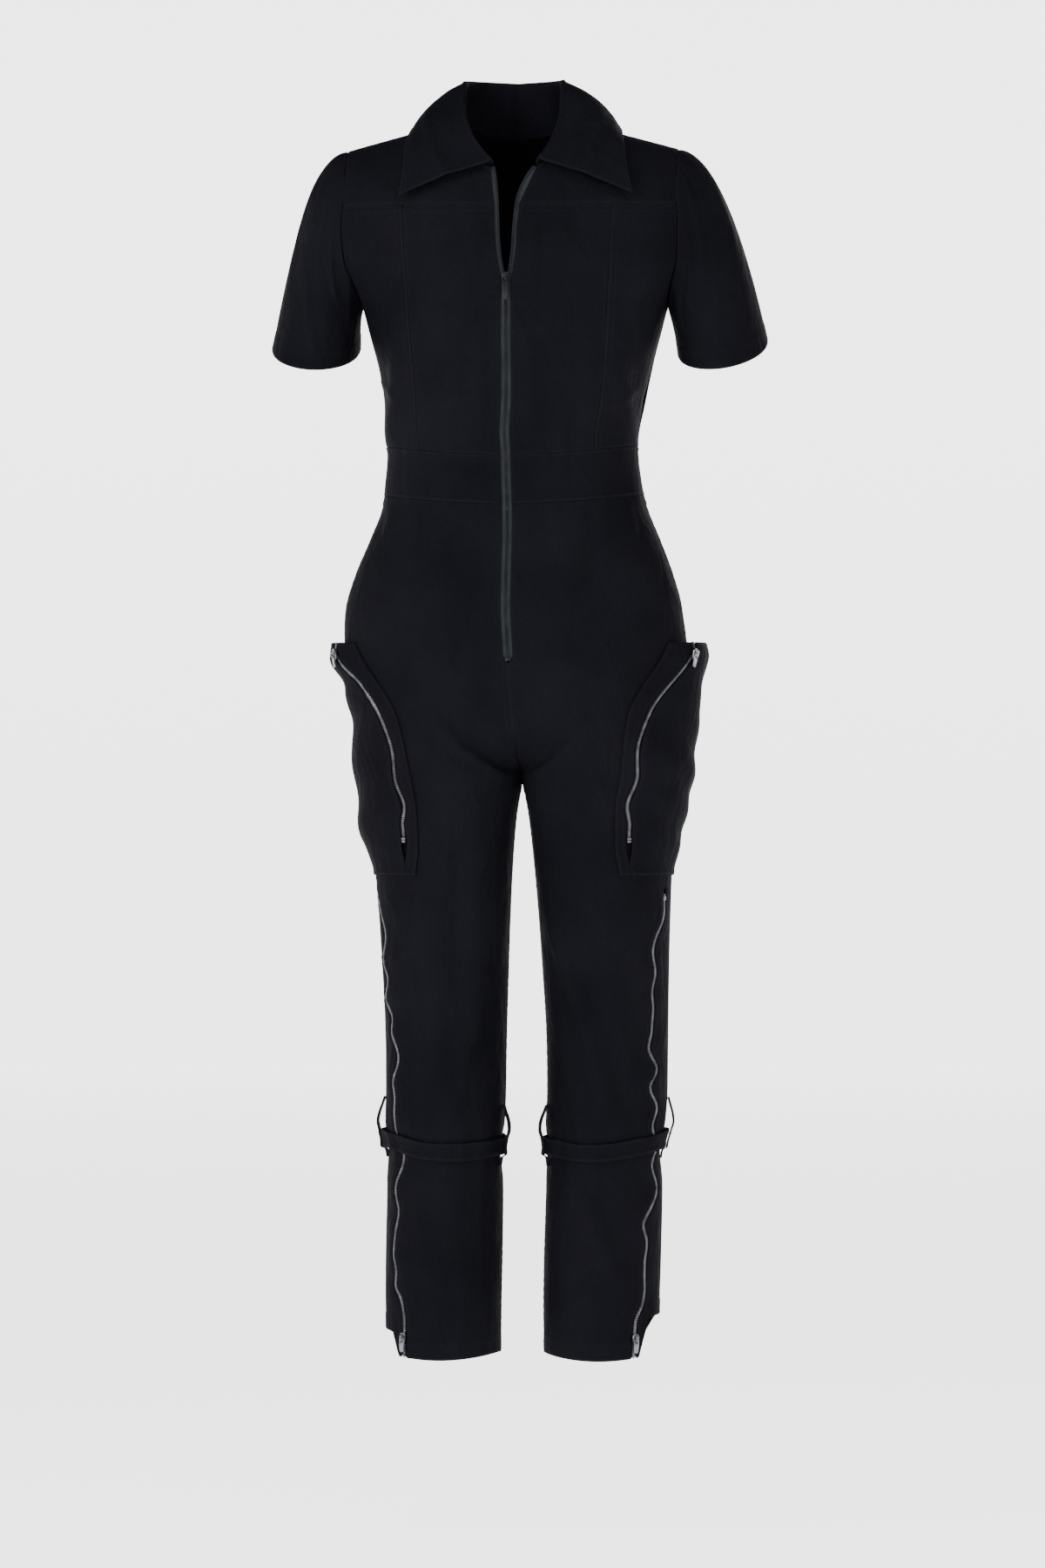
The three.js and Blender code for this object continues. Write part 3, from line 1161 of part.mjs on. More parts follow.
function addStrap(side) {
  const name = sideName(side);
  const turns = Array.from({ length: STRAP.cells }, (_, i) => (i / STRAP.cells) * 2 * Math.PI);
  const grid = turns.map((turn) => [1, 0, -1].map((v) => {
    const s = trousers(side, turn, strapMiddle(turn) + (v * STRAP.high) / 2);
    s.p.addScaledVector(s.n, strapLift(turn));
    return s;
  }));
  addMesh("knee_strap_" + name, clothWall(grid, 0, STRAP.thick, (p) => p, true), CLOTH_LOOK);
  for (const title of ["outer", "inner"]) {
    const middle = LOOPS[title];
    const strip = loopPath(middle).map((row) => [-LOOPS.half, LOOPS.half].map((d) => {
      const s = trousers(side, middle + d / radius(middle, row.z), row.z);
      s.p.addScaledVector(s.n, row.lift);
      return s;
    }));
    addMesh("strap_loop_" + title + "_" + name, clothWall(strip, 0, LOOPS.thick), CLOTH_LOOK);
  }
}

for (const side of [-1, 1]) {
  addBodice(side);
  addSleeve(side);
  addTrousers(side);
  addPocket(side);
  addLegZip(side);
  addStrap(side);
}
addBack();
addCollar();
addWaistband();
addFrontZip();
const seat = trunk(1, 0, SLIDER_Z, false);
addPull("front_zip", seat, new THREE.Vector3(0, 0, 1), 2.2, FRONT_TAB, GUNMETAL_LOOK);

export default jumpsuit;
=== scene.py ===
import math

import bmesh
import bpy
import numpy as np
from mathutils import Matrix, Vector


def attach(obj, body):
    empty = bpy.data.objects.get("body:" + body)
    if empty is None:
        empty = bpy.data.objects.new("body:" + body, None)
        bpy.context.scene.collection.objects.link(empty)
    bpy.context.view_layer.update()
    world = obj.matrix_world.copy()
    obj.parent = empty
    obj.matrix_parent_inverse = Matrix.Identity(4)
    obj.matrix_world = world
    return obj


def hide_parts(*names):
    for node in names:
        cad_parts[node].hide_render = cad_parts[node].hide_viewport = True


# Short-sleeved zip-front jumpsuit in black woven cloth: cloth, creases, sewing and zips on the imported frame.
# Lengths are millimetres until a mesh is made. The front faces -Y and x runs to the viewer's right.
# Tables give distances from the middle, so one row serves the left side (-1) and the right side (1).
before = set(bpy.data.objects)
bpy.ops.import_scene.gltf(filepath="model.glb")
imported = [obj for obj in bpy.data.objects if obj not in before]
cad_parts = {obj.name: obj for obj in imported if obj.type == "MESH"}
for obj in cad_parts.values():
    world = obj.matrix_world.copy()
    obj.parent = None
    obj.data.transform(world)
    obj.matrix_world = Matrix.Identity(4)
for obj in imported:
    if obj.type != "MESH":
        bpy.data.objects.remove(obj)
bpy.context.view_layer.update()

MM = 0.001
CLOTH = 1.5
SEAM = 0.15
CLEAR = 0.3
ROUND = 2.25
SHOULDER_DROP = 0.27
NECK_HALF = 62
TIP_X, TIP_Z = 190, -35
UNDERARM_Z = -214
YOKE_Z = -100
WAIST_TOP_Z, WAIST_BOTTOM_Z = -385, -441
WAIST_LIFT = 12
ZIP_TOP_Z, SLIDER_Z, ZIP_END_Z = -56, -186, -617
ZIP_EDGE = 5.5
CROTCH_Z, CROTCH_RISE, THIGH_RISE = -748, 92, 150
SEAM_TURN = 0.3
POCKET_TOP_Z, POCKET_END_Z, POCKET_ZIP_END_Z = -598, -864, -826
POCKET_LIFT = 0.9
LEG_ZIP_TOP_Z, HEM_Z = -884, -1418
SIDES = {-1: "left", 1: "right"}


def lerp(a, b, t):
    return a + (b - a) * t


def smooth(t):
    c = np.clip(t, 0, 1)
    return c * c * (3 - 2 * c)


class Table:
    """Rows of named numbers, the key first, read between the rows along a curve that never overshoots."""

    def __init__(self, names, *rows):
        data = np.array(sorted(rows), float)
        self.key = data[:, 0]
        self.columns = dict(zip(names.split(), data.T))
        self.slopes = {name: self.slope(column) for name, column in self.columns.items()}

    def slope(self, column):
        step = np.diff(column) / np.diff(self.key)
        before, after = step[:-1], step[1:]
        total = np.where(before + after == 0, 1, before + after)
        inner = np.where(before * after > 0, 2 * before * after / total, 0)
        return np.concatenate([step[:1], inner, step[-1:]])

    def __call__(self, name, place):
        key, y, slope = self.key, self.columns[name], self.slopes[name]
        p = np.clip(place, key[0], key[-1])
        i = np.clip(np.searchsorted(key, p, "right") - 1, 0, len(key) - 2)
        h = key[i + 1] - key[i]
        t = (p - key[i]) / h
        bend = t * (1 - t) ** 2 * slope[i] - t * t * (1 - t) * slope[i + 1]
        return y[i] + (y[i + 1] - y[i]) * t * t * (3 - 2 * t) + h * bend


# Trunk: half width, depth of front and back, shift of the middle
BODY = Table(
    "z half front back centre",
    (40, 204, 52, 58, 0), (-35, 204, 68, 74, 0), (-80, 203, 79, 88, 0), (-125, 205, 91, 96, 0),
    (-160, 200, 104, 97, 1), (-190, 185, 112, 95, 2), (-214, 174, 116, 93, 2), (-240, 167, 118, 89, 2),
    (-280, 157, 114, 83, 2), (-320, 150, 103, 78, 1), (-360, 145, 93, 75, -2), (-380, 143, 90, 74, -1),
    (-420, 147, 90, 79, 0), (-440, 150, 92, 84, 1), (-480, 165, 96, 98, 1.5), (-520, 181, 99, 110, 0.5),
    (-560, 192, 100, 118, 0), (-600, 195, 99, 120, 2), (-650, 189, 96, 117, 4), (-700, 183, 93, 110, 7),
    (-748, 178, 89, 101, 10),
)
# Legs: middle of the leg out from the trunk's, half width, depth of front and back, shift of both legs
LEG = Table(
    "z out half front back centre",
    (-748, 89, 89, 89, 101, 10), (-800, 91.5, 82, 84, 93, 10.5), (-860, 92, 77, 79, 84, 11.5),
    (-910, 92.3, 74, 74, 78, 12.5), (-960, 92.5, 71.5, 70, 73, 13.5), (-1060, 93.2, 68, 64, 68, 15),
    (-1110, 93.3, 67.5, 63.5, 69, 15), (-1145, 92.8, 67, 64.5, 70, 14.5), (-1178, 92.2, 62, 59.5, 65, 14),
    (-1215, 92, 65, 61, 68, 13), (-1300, 91.6, 65.5, 58.5, 66, 11), (-1360, 91.3, 65, 57, 63, 10),
    (-1430, 91, 64, 56, 61, 10),
)
# Armhole seam: distance out, and the part of the section's depth that stays open at the seam
ARMHOLE = Table(
    "z x open",
    (20, 190, 36), (-35, 190, 36), (-80, 189.5, 37), (-120, 192, 37), (-158, 190, 30),
    (-190, 180.5, 15), (-205, 176, 5), (-214, 174, 0), (-220, 172, 0),
)
PRINCESS = Table(
    "z x",
    (-60, 121), (-100, 120), (-217, 113), (-290, 108), (-350, 103), (-385, 100), (-441, 100),
)
OPENING = Table(
    "z left right",
    (-50, 21, 38), (-70, 17, 24), (-95, 14.5, 15), (-120, 13, 12.5), (-150, 11, 11), (-176, 7.5, 7.5),
    (-190, ZIP_EDGE, ZIP_EDGE), (-620, ZIP_EDGE, ZIP_EDGE),
)
# How far each row of the bodice follows the rise of the waist seam
WAIST_SHARE = Table(
    "z share",
    (-100, 0), (-214, 0), (-238, 0.05), (-262, 0.15), (-288, 0.3), (-316, 0.55), (-344, 0.8),
    (-366, 0.95), (-385, 1),
)
NECK_FRONT = Table("t x z", (0, 29, ZIP_TOP_Z), (1 / 3, 44, -43), (2 / 3, 55, -25), (1, NECK_HALF, 0))
NECK_BACK = Table("t x z", (0, NECK_HALF, 0), (1 / 3, 46, -10), (2 / 3, 24, -16), (1, 0, -18))
# Sleeve hem: outer and inner corner, middle of its depth, half depth, and how far the front hangs lower
SLEEVE = {
    -1: {"outer": (279, -258), "inner": (181, -264), "y": 12, "deep": 62, "tip": 25},
    1: {"outer": (290, -256), "inner": (190, -266), "y": 12, "deep": 62, "tip": 26},
}
# Collar: roll line and outer edge from the centre back to the front end. lift is the bow of the leaf.
COLLAR_COLUMNS = "at roll_x roll_y roll_z edge_x edge_y edge_z lift"
COLLAR_BACK = ((0, 0, 60, 47, 0, 83, -26, 5), (0.28, 38, 44, 48, 62, 72, -22, 6))
COLLAR = {
    -1: Table(
        COLLAR_COLUMNS, *COLLAR_BACK,
        (0.5, 57, 2, 46, 115, 10, -9, 8), (0.68, 55, -34, 14, 119, -46, -26, 8),
        (0.84, 43, -62, -18, 120, -74, -58, 6), (1, 19, -79, -49, 123, -86, -89, 2),
    ),
    1: Table(
        COLLAR_COLUMNS, *COLLAR_BACK,
        (0.5, 57, 2, 47, 121, 10, -10, 8), (0.68, 59, -34, 12, 130, -46, -27, 8),
        (0.84, 52, -62, -20, 137, -72, -58, 6), (1, 37, -78, -47, 144, -84, -88, 2),
    ),
}
# Thigh pocket: front edge and zip from the legs' middle, and how far the bag stands off the leg
POCKET = Table(
    "z edge zip left right",
    (-592, 181, 195, 14, 18), (-616, 170, 187, 17, 23), (-650, 148, 167, 5, 21), (-680, 132, 149, 5, 17),
    (-712, 125, 140, 8, 18), (-752, 119, 133, 12, 15), (-790, 113, 126, 12, 11), (-830, 112, 126, 10, 7),
    (-864, 116, 128, 6, 6),
)
LEG_ZIP = Table(
    "z left right",
    (-860, 167, 165), (-884, 166, 163), (-925, 158, 158), (-964, 158, 149), (-1005, 156, 150),
    (-1035, 151, 146), (-1060, 146, 145), (-1083, 144, 150), (-1105, 149, 146), (-1128, 150, 150),
    (-1150, 145, 149), (-1185, 139, 147), (-1215, 142, 151), (-1245, 141, 148), (-1268, 143, 141),
    (-1300, 144, 143), (-1330, 142, 144), (-1352, 134, 141), (-1376, 131, 133), (-1430, 131, 131),
)

# Creases placed one by one. side, back or front, a line from (x0, z0) to (x1, z1) in distances from the
# middle, its width, its height, where a minus makes a trough, and the bow of its line.
FOLD_COLUMNS = ("side", "back", "x0", "z0", "x1", "z1", "wide", "high", "bow")
LEG_FOLDS = [
    (1, 0, 36, -918, 64, -1000, 11, 6, 0), (1, 0, 64, -1000, 104, -1150, 12, 6.8, 0),
    (1, 0, 96, -905, 112, -1060, 14, 3.8, 0), (1, 0, 60, -1215, 118, -1330, 12, 3.8, 0),
    (-1, 0, 66, -840, 70, -1000, 12, -4.5, 0), (-1, 0, 104, -900, 96, -1100, 13, 4.5, 0),
    (-1, 0, 52, -1020, 80, -1140, 12, 4.5, 0), (-1, 0, 74, -1215, 96, -1350, 13, 3.8, 0),
    (1, 0, 22, -752, 82, -690, 10, 4.5, 0), (-1, 0, 22, -752, 82, -690, 10, 4.5, 0),
    (1, 1, 30, -770, 110, -700, 12, 6, 0), (-1, 1, 30, -770, 105, -712, 12, 6, 0),
    (1, 1, 60, -1020, 118, -1085, 12, 6, 0), (1, 1, 70, -1085, 125, -1125, 10, 5.2, 0),
    (-1, 1, 64, -1030, 122, -1078, 12, 6, 0), (-1, 1, 58, -1090, 115, -1128, 10, 5.2, 0),
    (1, 1, 60, -1240, 110, -1350, 14, 4.5, 0), (-1, 1, 66, -1235, 112, -1340, 14, 4.5, 0),
    # short creases at the crotch, behind the knees and over the hems
    (1, 0, 12, -742, 62, -716, 5, 2.4, 3), (-1, 0, 12, -744, 58, -722, 5, 2.2, 3),
    (1, 0, 10, -768, 54, -790, 6, 2, -3), (-1, 0, 10, -764, 60, -786, 6, 2.1, -3),
    (1, 0, 112, -1000, 122, -1125, 6, 2.1, 4), (-1, 0, 124, -980, 118, -1090, 6, 2, -4),
    (1, 0, 48, -1080, 66, -1160, 6, 2.2, 2), (-1, 0, 104, -1118, 112, -1165, 5, 1.8, 0),
    (1, 0, 84, -1196, 90, -1262, 6, 2.2, -3), (-1, 0, 108, -1200, 118, -1270, 6, 2.1, 3),
    (1, 0, 120, -1350, 96, -1400, 7, 2.1, 2), (-1, 0, 60, -1330, 72, -1400, 7, 2, -2),
    (1, 1, 26, -800, 100, -772, 7, 3.3, 4), (-1, 1, 28, -806, 96, -776, 7, 3.2, 4),
    (1, 1, 50, -1052, 100, -1068, 6, 3, 3), (-1, 1, 52, -1060, 104, -1072, 6, 3, 3),
    (1, 1, 80, -1108, 120, -1112, 5, 2.7, 2), (-1, 1, 76, -1112, 112, -1118, 5, 2.7, 2),
    (1, 1, 92, -1190, 104, -1250, 7, 2.7, 3), (-1, 1, 84, -1192, 98, -1246, 7, 2.7, 3),
]
BODY_FOLDS = [
    (-1, 0, 126, -228, 134, -356, 9, 4.5, 0), (1, 0, 120, -240, 134, -350, 9, 4.5, 0),
    (-1, 0, 30, -240, 26, -350, 8, 3, 0), (1, 0, 24, -250, 28, -345, 8, 3, 0),
    (-1, 1, 120, -180, 96, -340, 12, 5.2, 0), (1, 1, 118, -185, 94, -345, 12, 5.2, 0),
    (-1, 1, 40, -320, 124, -350, 9, 3.8, 0), (1, 1, 44, -318, 122, -346, 9, 3.8, 0),
    (-1, 0, 96, -450, 96, -530, 7, -3, 0), (1, 0, 96, -450, 96, -530, 7, -3, 0),
    # armhole drags, pulls at the waist, and strain beside the open neck
    (-1, 0, 168, -176, 134, -226, 6, 2.4, 3), (1, 0, 170, -172, 138, -228, 6, 2.5, -3),
    (-1, 0, 150, -300, 116, -322, 5, 1.8, 2), (1, 0, 146, -306, 112, -330, 5, 1.8, 2),
    (-1, 0, 38, -112, 34, -170, 5, 2.4, 2), (1, 0, 34, -120, 30, -176, 5, 2.1, -2),
    (-1, 0, 62, -340, 66, -384, 5, 1.7, 0), (1, 0, 70, -336, 64, -384, 5, 1.7, 0),
    (-1, 0, 60, -446, 56, -486, 5, 1.7, 0), (1, 0, 56, -446, 60, -492, 5, 1.7, 0),
    (-1, 0, 136, -446, 140, -478, 6, 2, 0), (1, 0, 134, -446, 140, -482, 6, 2, 0),
    (-1, 1, 30, -356, 112, -372, 5, 2.7, 3), (1, 1, 24, -352, 108, -370, 5, 2.5, 3),
    (-1, 1, 160, -150, 126, -226, 7, 3, -3), (1, 1, 160, -154, 128, -230, 7, 3, 3),
    (-1, 1, 70, -446, 64, -500, 6, 2.2, 0), (1, 1, 72, -446, 66, -496, 6, 2.2, 0),
]
FOLD_RADIUS = 68


def fold_height(fold, u, v, start, end):
    """Height of one crease: a ridge with a shallower trough beside it, fading out past both ends."""
    du, dv = end[0] - start[0], end[1] - start[1]
    length = math.hypot(du, dv)
    t = np.clip(((u - start[0]) * du + (v - start[1]) * dv) / length**2, -0.25, 1.25)
    bow = fold["bow"] * (1 - (2 * t - 1) ** 2)
    away_u, away_v = u - (start[0] + t * du), v - (start[1] + t * dv)
    side = (away_v * du - away_u * dv) / length - bow
    beyond = np.hypot(away_u, away_v) ** 2 - ((away_v * du - away_u * dv) / length) ** 2
    ends = smooth((t + 0.25) / 0.4) * smooth((1.25 - t) / 0.4)
    wide = fold["wide"]
    ridge_part = np.exp(-(side**2 + np.maximum(beyond, 0)) / wide**2)
    trough_part = 0.35 * np.exp(-((side - 1.9 * wide) ** 2 + np.maximum(beyond, 0)) / (1.4 * wide) ** 2)
    return fold["high"] * ends * (ridge_part - trough_part)


def body_fold(side, x, z, back):
    """Height that the trunk's creases give one side, in front or behind."""
    named = (dict(zip(FOLD_COLUMNS, row)) for row in BODY_FOLDS)
    return sum(
        fold_height(f, x, z, (f["x0"], f["z0"]), (f["x1"], f["z1"]))
        for f in named if (f["side"], f["back"]) == (side, int(back))
    )


ARCH_FRONT, ARCH_BACK, ARCH_POWER = 92, 74, 2.2


def ridge(x):
    return -SHOULDER_DROP * (x - NECK_HALF)


def arch(x, z, back):
    """Share of the full depth at a distance below the shoulder's ridge."""
    e = np.clip((ridge(x) - z) / (ARCH_BACK if back else ARCH_FRONT), 0, 1)
    return (1 - (1 - e) ** ARCH_POWER) ** (1 / ARCH_POWER)


def depth(x, z, back):
    full, opened = BODY("back" if back else "front", z), ARMHOLE("open", z)
    r = np.clip(x / BODY("half", z), 0, 1)
    return arch(x, z, back) * (opened + (full - opened) * (1 - r**ROUND) ** (1 / ROUND))


def unit(v):
    return v / np.maximum(np.linalg.norm(v, axis=-1, keepdims=True), 1e-9)


def trunk_normal(x, z, back):
    """Outward direction of the trunk, from the gradient of its section or of its shoulder arch."""
    y = depth(x, z, back)
    upright = arch(x, z, back) > 0.8

    def level(px, py, pz):
        full, opened = BODY("back" if back else "front", pz), ARMHOLE("open", pz)
        r = np.clip(np.abs(px) / BODY("half", pz), 0, 1.2) ** ROUND
        deep = np.abs(py) / np.maximum(arch(px, pz, back), 1e-6)
        past = np.abs(deep - opened) / (full - opened)
        section = np.where(deep < opened, r - 1, past**ROUND + r - 1)
        flat = opened + (full - opened) * np.maximum(0, 1 - r) ** (1 / ROUND)
        e = np.clip((ridge(np.abs(px)) - pz) / (ARCH_BACK if back else ARCH_FRONT), -0.5, 1)
        shoulder = (np.abs(py) / flat) ** ARCH_POWER + (1 - e) ** ARCH_POWER - 1
        return np.where(upright, section, shoulder)

    h = 0.02
    n = unit(np.stack([
        level(x + h, y, z) - level(x - h, y, z),
        level(x, y + h, z) - level(x, y - h, z),
        level(x, y, z + h) - level(x, y, z - h),
    ], axis=-1))
    return n * (1, 1 if back else -1, 1)


def trunk(side, x, z, back):
    """Points of the trunk's inner face and their outward directions. x counts from the middle."""
    x, z = np.broadcast_arrays(np.asarray(x, float), np.asarray(z, float))
    away = np.abs(x)
    n = trunk_normal(away, z, back)
    y = depth(away, z, back)
    high = np.asarray(body_fold(side, away, z, back))
    p = np.stack([away, y if back else -y, z], axis=-1) + n * high[..., None]
    flip = np.where(x < 0, -side, side)
    p[..., 0] = flip * p[..., 0] + BODY("centre", z)
    n[..., 0] *= flip
    return p, n


def ring_point(turn, z):
    """Ring of a leg and of half the trunk: turn 0 is the inside, half a turn the outer side, front first."""
    turn, z = np.broadcast_arrays(np.asarray(turn, float), np.asarray(z, float))
    s, c = np.sin(turn / 2), np.cos(turn / 2)
    leg_deep = np.where(np.sin(turn) < 0, LEG("back", z), LEG("front", z))
    low_x = LEG("out", z) - LEG("half", z) * np.cos(turn)
    low_y = -leg_deep * np.sin(turn)
    half = BODY("half", z)
    deep = np.where(c < 0, BODY("back", z), BODY("front", z))
    power = 2 / ROUND
    whole_x = half * np.sign(s) * np.abs(s) ** power
    whole_y = -np.sign(c) * deep * np.abs(c) ** power
    share = 1 - (1 - np.clip((z - CROTCH_Z) / CROTCH_RISE, 0, 1)) ** 3
    x = lerp(half / 2 * (1 - np.cos(turn)), whole_x, share)
    u = np.clip(np.abs(x) / half, 0, 1)
    leg_part = deep * np.sqrt(np.maximum(0, 1 - (2 * u - 1) ** 2))
    whole_part = deep * (1 - u**ROUND) ** (1 / ROUND)
    even = -np.sign(np.sin(turn)) * lerp(leg_part, whole_part, smooth((z - CROTCH_Z) / THIGH_RISE))
    from_seam = np.minimum(turn, 2 * np.pi - turn)
    y = lerp(lerp(-deep * np.sin(turn), whole_y, share), even, smooth(from_seam - SEAM_TURN))
    below = z <= CROTCH_Z
    return np.where(below, low_x, x), np.where(below, low_y, y)


def turn_at(x, z, back):
    """Turn at which the front or back of the ring lies at a distance from the middle."""
    x, z = np.broadcast_arrays(np.asarray(x, float), np.asarray(z, float))
    low, high = np.zeros(x.shape), np.full(x.shape, np.pi)
    for _ in range(40):
        middle = (low + high) / 2
        short = ring_point(middle, z)[0] < x
        low, high = np.where(short, middle, low), np.where(short, high, middle)
    found = (low + high) / 2
    return 2 * np.pi - found if back else found


LEG_FOLD_ENDS = [
    [(FOLD_RADIUS * float(turn_at(row[i], row[i + 1], row[1])), row[i + 1]) for i in (2, 4)]
    for row in LEG_FOLDS
]
GATHERS = {"count": 5, "high": 2, "above": 44, "below": 30, "z": -1178}


def leg_fold(side, turn, z):
    high = 0
    for row, (start, end) in zip(LEG_FOLDS, LEG_FOLD_ENDS):
        if row[0] == side:
            high = high + fold_height(dict(zip(FOLD_COLUMNS, row)), FOLD_RADIUS * turn, z, start, end)
    away = z - GATHERS["z"]
    near = np.exp(-((away / np.where(away > 0, GATHERS["above"], GATHERS["below"])) ** 2))
    high = high + GATHERS["high"] * near * np.sin(GATHERS["count"] * turn + side)
    # small gathers where the strap draws the cloth in, uneven round the leg
    close = np.exp(-((away / 24) ** 2))
    uneven = 0.7 + 0.5 * np.sin(3 * turn + side)
    small = np.sin(13 * turn + 1.3 * side) * uneven + 0.5 * np.sin(21 * turn + 2)
    high = high + 0.9 * close * small
    # a stacked ripple beside the puckered zip and low soft bends down the leg
    near_zip = np.exp(-(((turn - OUTSEAM_MIDDLE) * FOLD_RADIUS / 20) ** 2))
    ripple = np.sin(z / 8.5 + 1.8 * np.sin(z / 41) + side)
    high = high + 1.1 * near_zip * smooth((LEG_ZIP_TOP_Z - z) / 40) * ripple
    return high


OUTSEAM_MIDDLE = float(turn_at(148, -1100, False))


def trousers(side, turn, z):
    """Points of the trousers' inner face and their outward directions."""
    turn, z = np.broadcast_arrays(np.asarray(turn, float), np.asarray(z, float))
    e, h = 0.002, 0.05
    ax, ay = ring_point(turn - e, z)
    bx, by = ring_point(turn + e, z)
    ux, uy = ring_point(turn, z + h)
    dx, dy = ring_point(turn, z - h)
    along = np.stack([bx - ax, by - ay, np.zeros_like(ax)], axis=-1)
    rise = np.stack([ux - dx, uy - dy, np.full_like(ux, 2 * h)], axis=-1)
    n = unit(np.cross(along, rise))
    x, y = ring_point(turn, z)
    high = leg_fold(side, turn, z)
    for back in (False, True):
        here = (np.cos(turn / 2) < 0) == back
        high = high + np.where(here & (z > CROTCH_Z), body_fold(side, x, z, back), 0)
    p = np.stack([x, y, z], axis=-1) + n * high[..., None]
    centre = np.where(z > CROTCH_Z, BODY("centre", z), LEG("centre", z))
    p[..., 0] = side * p[..., 0] + centre
    n[..., 0] *= side
    return p, n


def radius(turn, z):
    """Length of cloth for one radian of turn."""
    ax, ay = ring_point(turn - 0.01, z)
    bx, by = ring_point(turn + 0.01, z)
    return np.hypot(bx - ax, by - ay) / 0.02


# Seams: width of the raised allowance, height of the puckers, and the rows of topstitching from the edge
PLAIN = {"band": 0, "pucker": 0.15, "rows": ()}
FELLED = {"band": 9, "pucker": 0.45, "rows": (2.0, 8.0)}
SINGLE = {"band": 7, "pucker": 0.35, "rows": (6.0,)}
EDGE_ROW = {"band": 5, "pucker": 0.25, "rows": (2.5,)}
HEM = {"band": 19, "pucker": 0.4, "rows": (16.0, 19.0)}
ZIPPED = {"band": 8, "pucker": 0.8, "rows": (4.5,)}
COLLAR_EDGE = {"band": 6, "pucker": 0.2, "rows": (2.5, 7.0)}
STITCH_LINES = []


def stops(length, step, close=(0, 0.7, 1.6, 3, 5, 8)):
    """Shares along one side of a panel, closer together beside its two seams."""
    if length < 3 * close[-1]:
        return np.linspace(0, 1, max(3, round(length / 2) + 1))
    middle = np.linspace(close[-1], length - close[-1], max(2, round((length - 2 * close[-1]) / step)))
    ends = [length - c for c in close[-2::-1]]
    return np.concatenate([close[:-1], middle, ends]) / length


def lengths(p, axis):
    """Length of cloth from the first row, along one axis of a grid."""
    step = np.linalg.norm(np.diff(p, axis=axis), axis=-1)
    return np.concatenate([np.zeros_like(step.take([0], axis)), np.cumsum(step, axis)], axis)


def wave(s, phase):
    """An uneven ripple, about 11 mm from one crest to the next."""
    uneven = 0.65 + 0.35 * np.sin(s / 47 + 2 * phase)
    return np.sin(s * 0.56 + 1.7 * np.sin(s / 31 + phase) + phase) * uneven


def relief(p, seams):
    """Height that the seams give the outer face: rolled edges, allowances, puckers and stitched grooves."""
    across, along = lengths(p, 0), lengths(p, 1)
    away = {
        "u0": across, "u1": across[-1:] - across,
        "v0": along, "v1": along[:, -1:] - along,
    }
    high, worn = np.zeros(p.shape[:2]), np.zeros(p.shape[:2])
    for number, (edge, seam) in enumerate(sorted(seams.items())):
        d = away[edge]
        s = along if edge[0] == "u" else across
        high -= 0.75 * np.exp(-((d / 1.0) ** 2))
        # lightening near each edge, kept as a point attribute: wear of the folded edge and painted highlight
        # on it
        worn += np.exp(-((d / 1.8) ** 2))
        if seam["band"]:
            high += 0.5 * smooth((seam["band"] + 1 - d) / 2)
        reach = max(seam["band"], 5) * 1.1
        high += seam["pucker"] * wave(s, 1.3 * number) * np.exp(-((d / reach) ** 2)) * smooth(d / 1.5)
        for row in seam["rows"]:
            high -= 0.35 * np.exp(-(((d - row) / 0.8) ** 2))
    return high, np.clip(worn, 0, 1)


def seam_line(p, n, edge, distance):
    """Points at a distance from one edge of a grid, along the cloth, with their outward directions."""
    grid = np.concatenate([p, n], axis=-1)
    grid = grid if edge[0] == "u" else grid.transpose(1, 0, 2)
    grid = grid if edge[1] == "0" else grid[::-1]
    far = lengths(grid[..., :3], 0)
    line = np.array([
        [np.interp(distance, far[:, j], grid[:, j, k]) for k in range(6)] for j in range(grid.shape[1])
    ])
    return line[:, :3], unit(line[:, 3:])


def add_mesh(name, verts, faces, uv=None, worn=None):
    """A plain mesh object from points in millimetres."""
    mesh = bpy.data.meshes.new(name)
    mesh.from_pydata((np.asarray(verts, float) * MM).tolist(), [], [list(f) for f in faces])
    mesh.update()
    if uv is not None:
        corner = np.empty(len(mesh.loops), np.int32)
        mesh.loops.foreach_get("vertex_index", corner)
        layer = mesh.uv_layers.new(name="Cloth")
        layer.data.foreach_set("uv", (np.asarray(uv, float)[corner] * MM).ravel())
    if worn is not None:
        shares = mesh.attributes.new("worn", "FLOAT", "POINT")
        shares.data.foreach_set("value", np.asarray(worn, float).ravel())
    mesh.polygons.foreach_set("use_smooth", np.ones(len(mesh.polygons), bool))
    mesh.set_sharp_from_angle(angle=math.radians(55))
    thing = bpy.data.objects.new(name, mesh)
    bpy.context.scene.collection.objects.link(thing)
    return thing


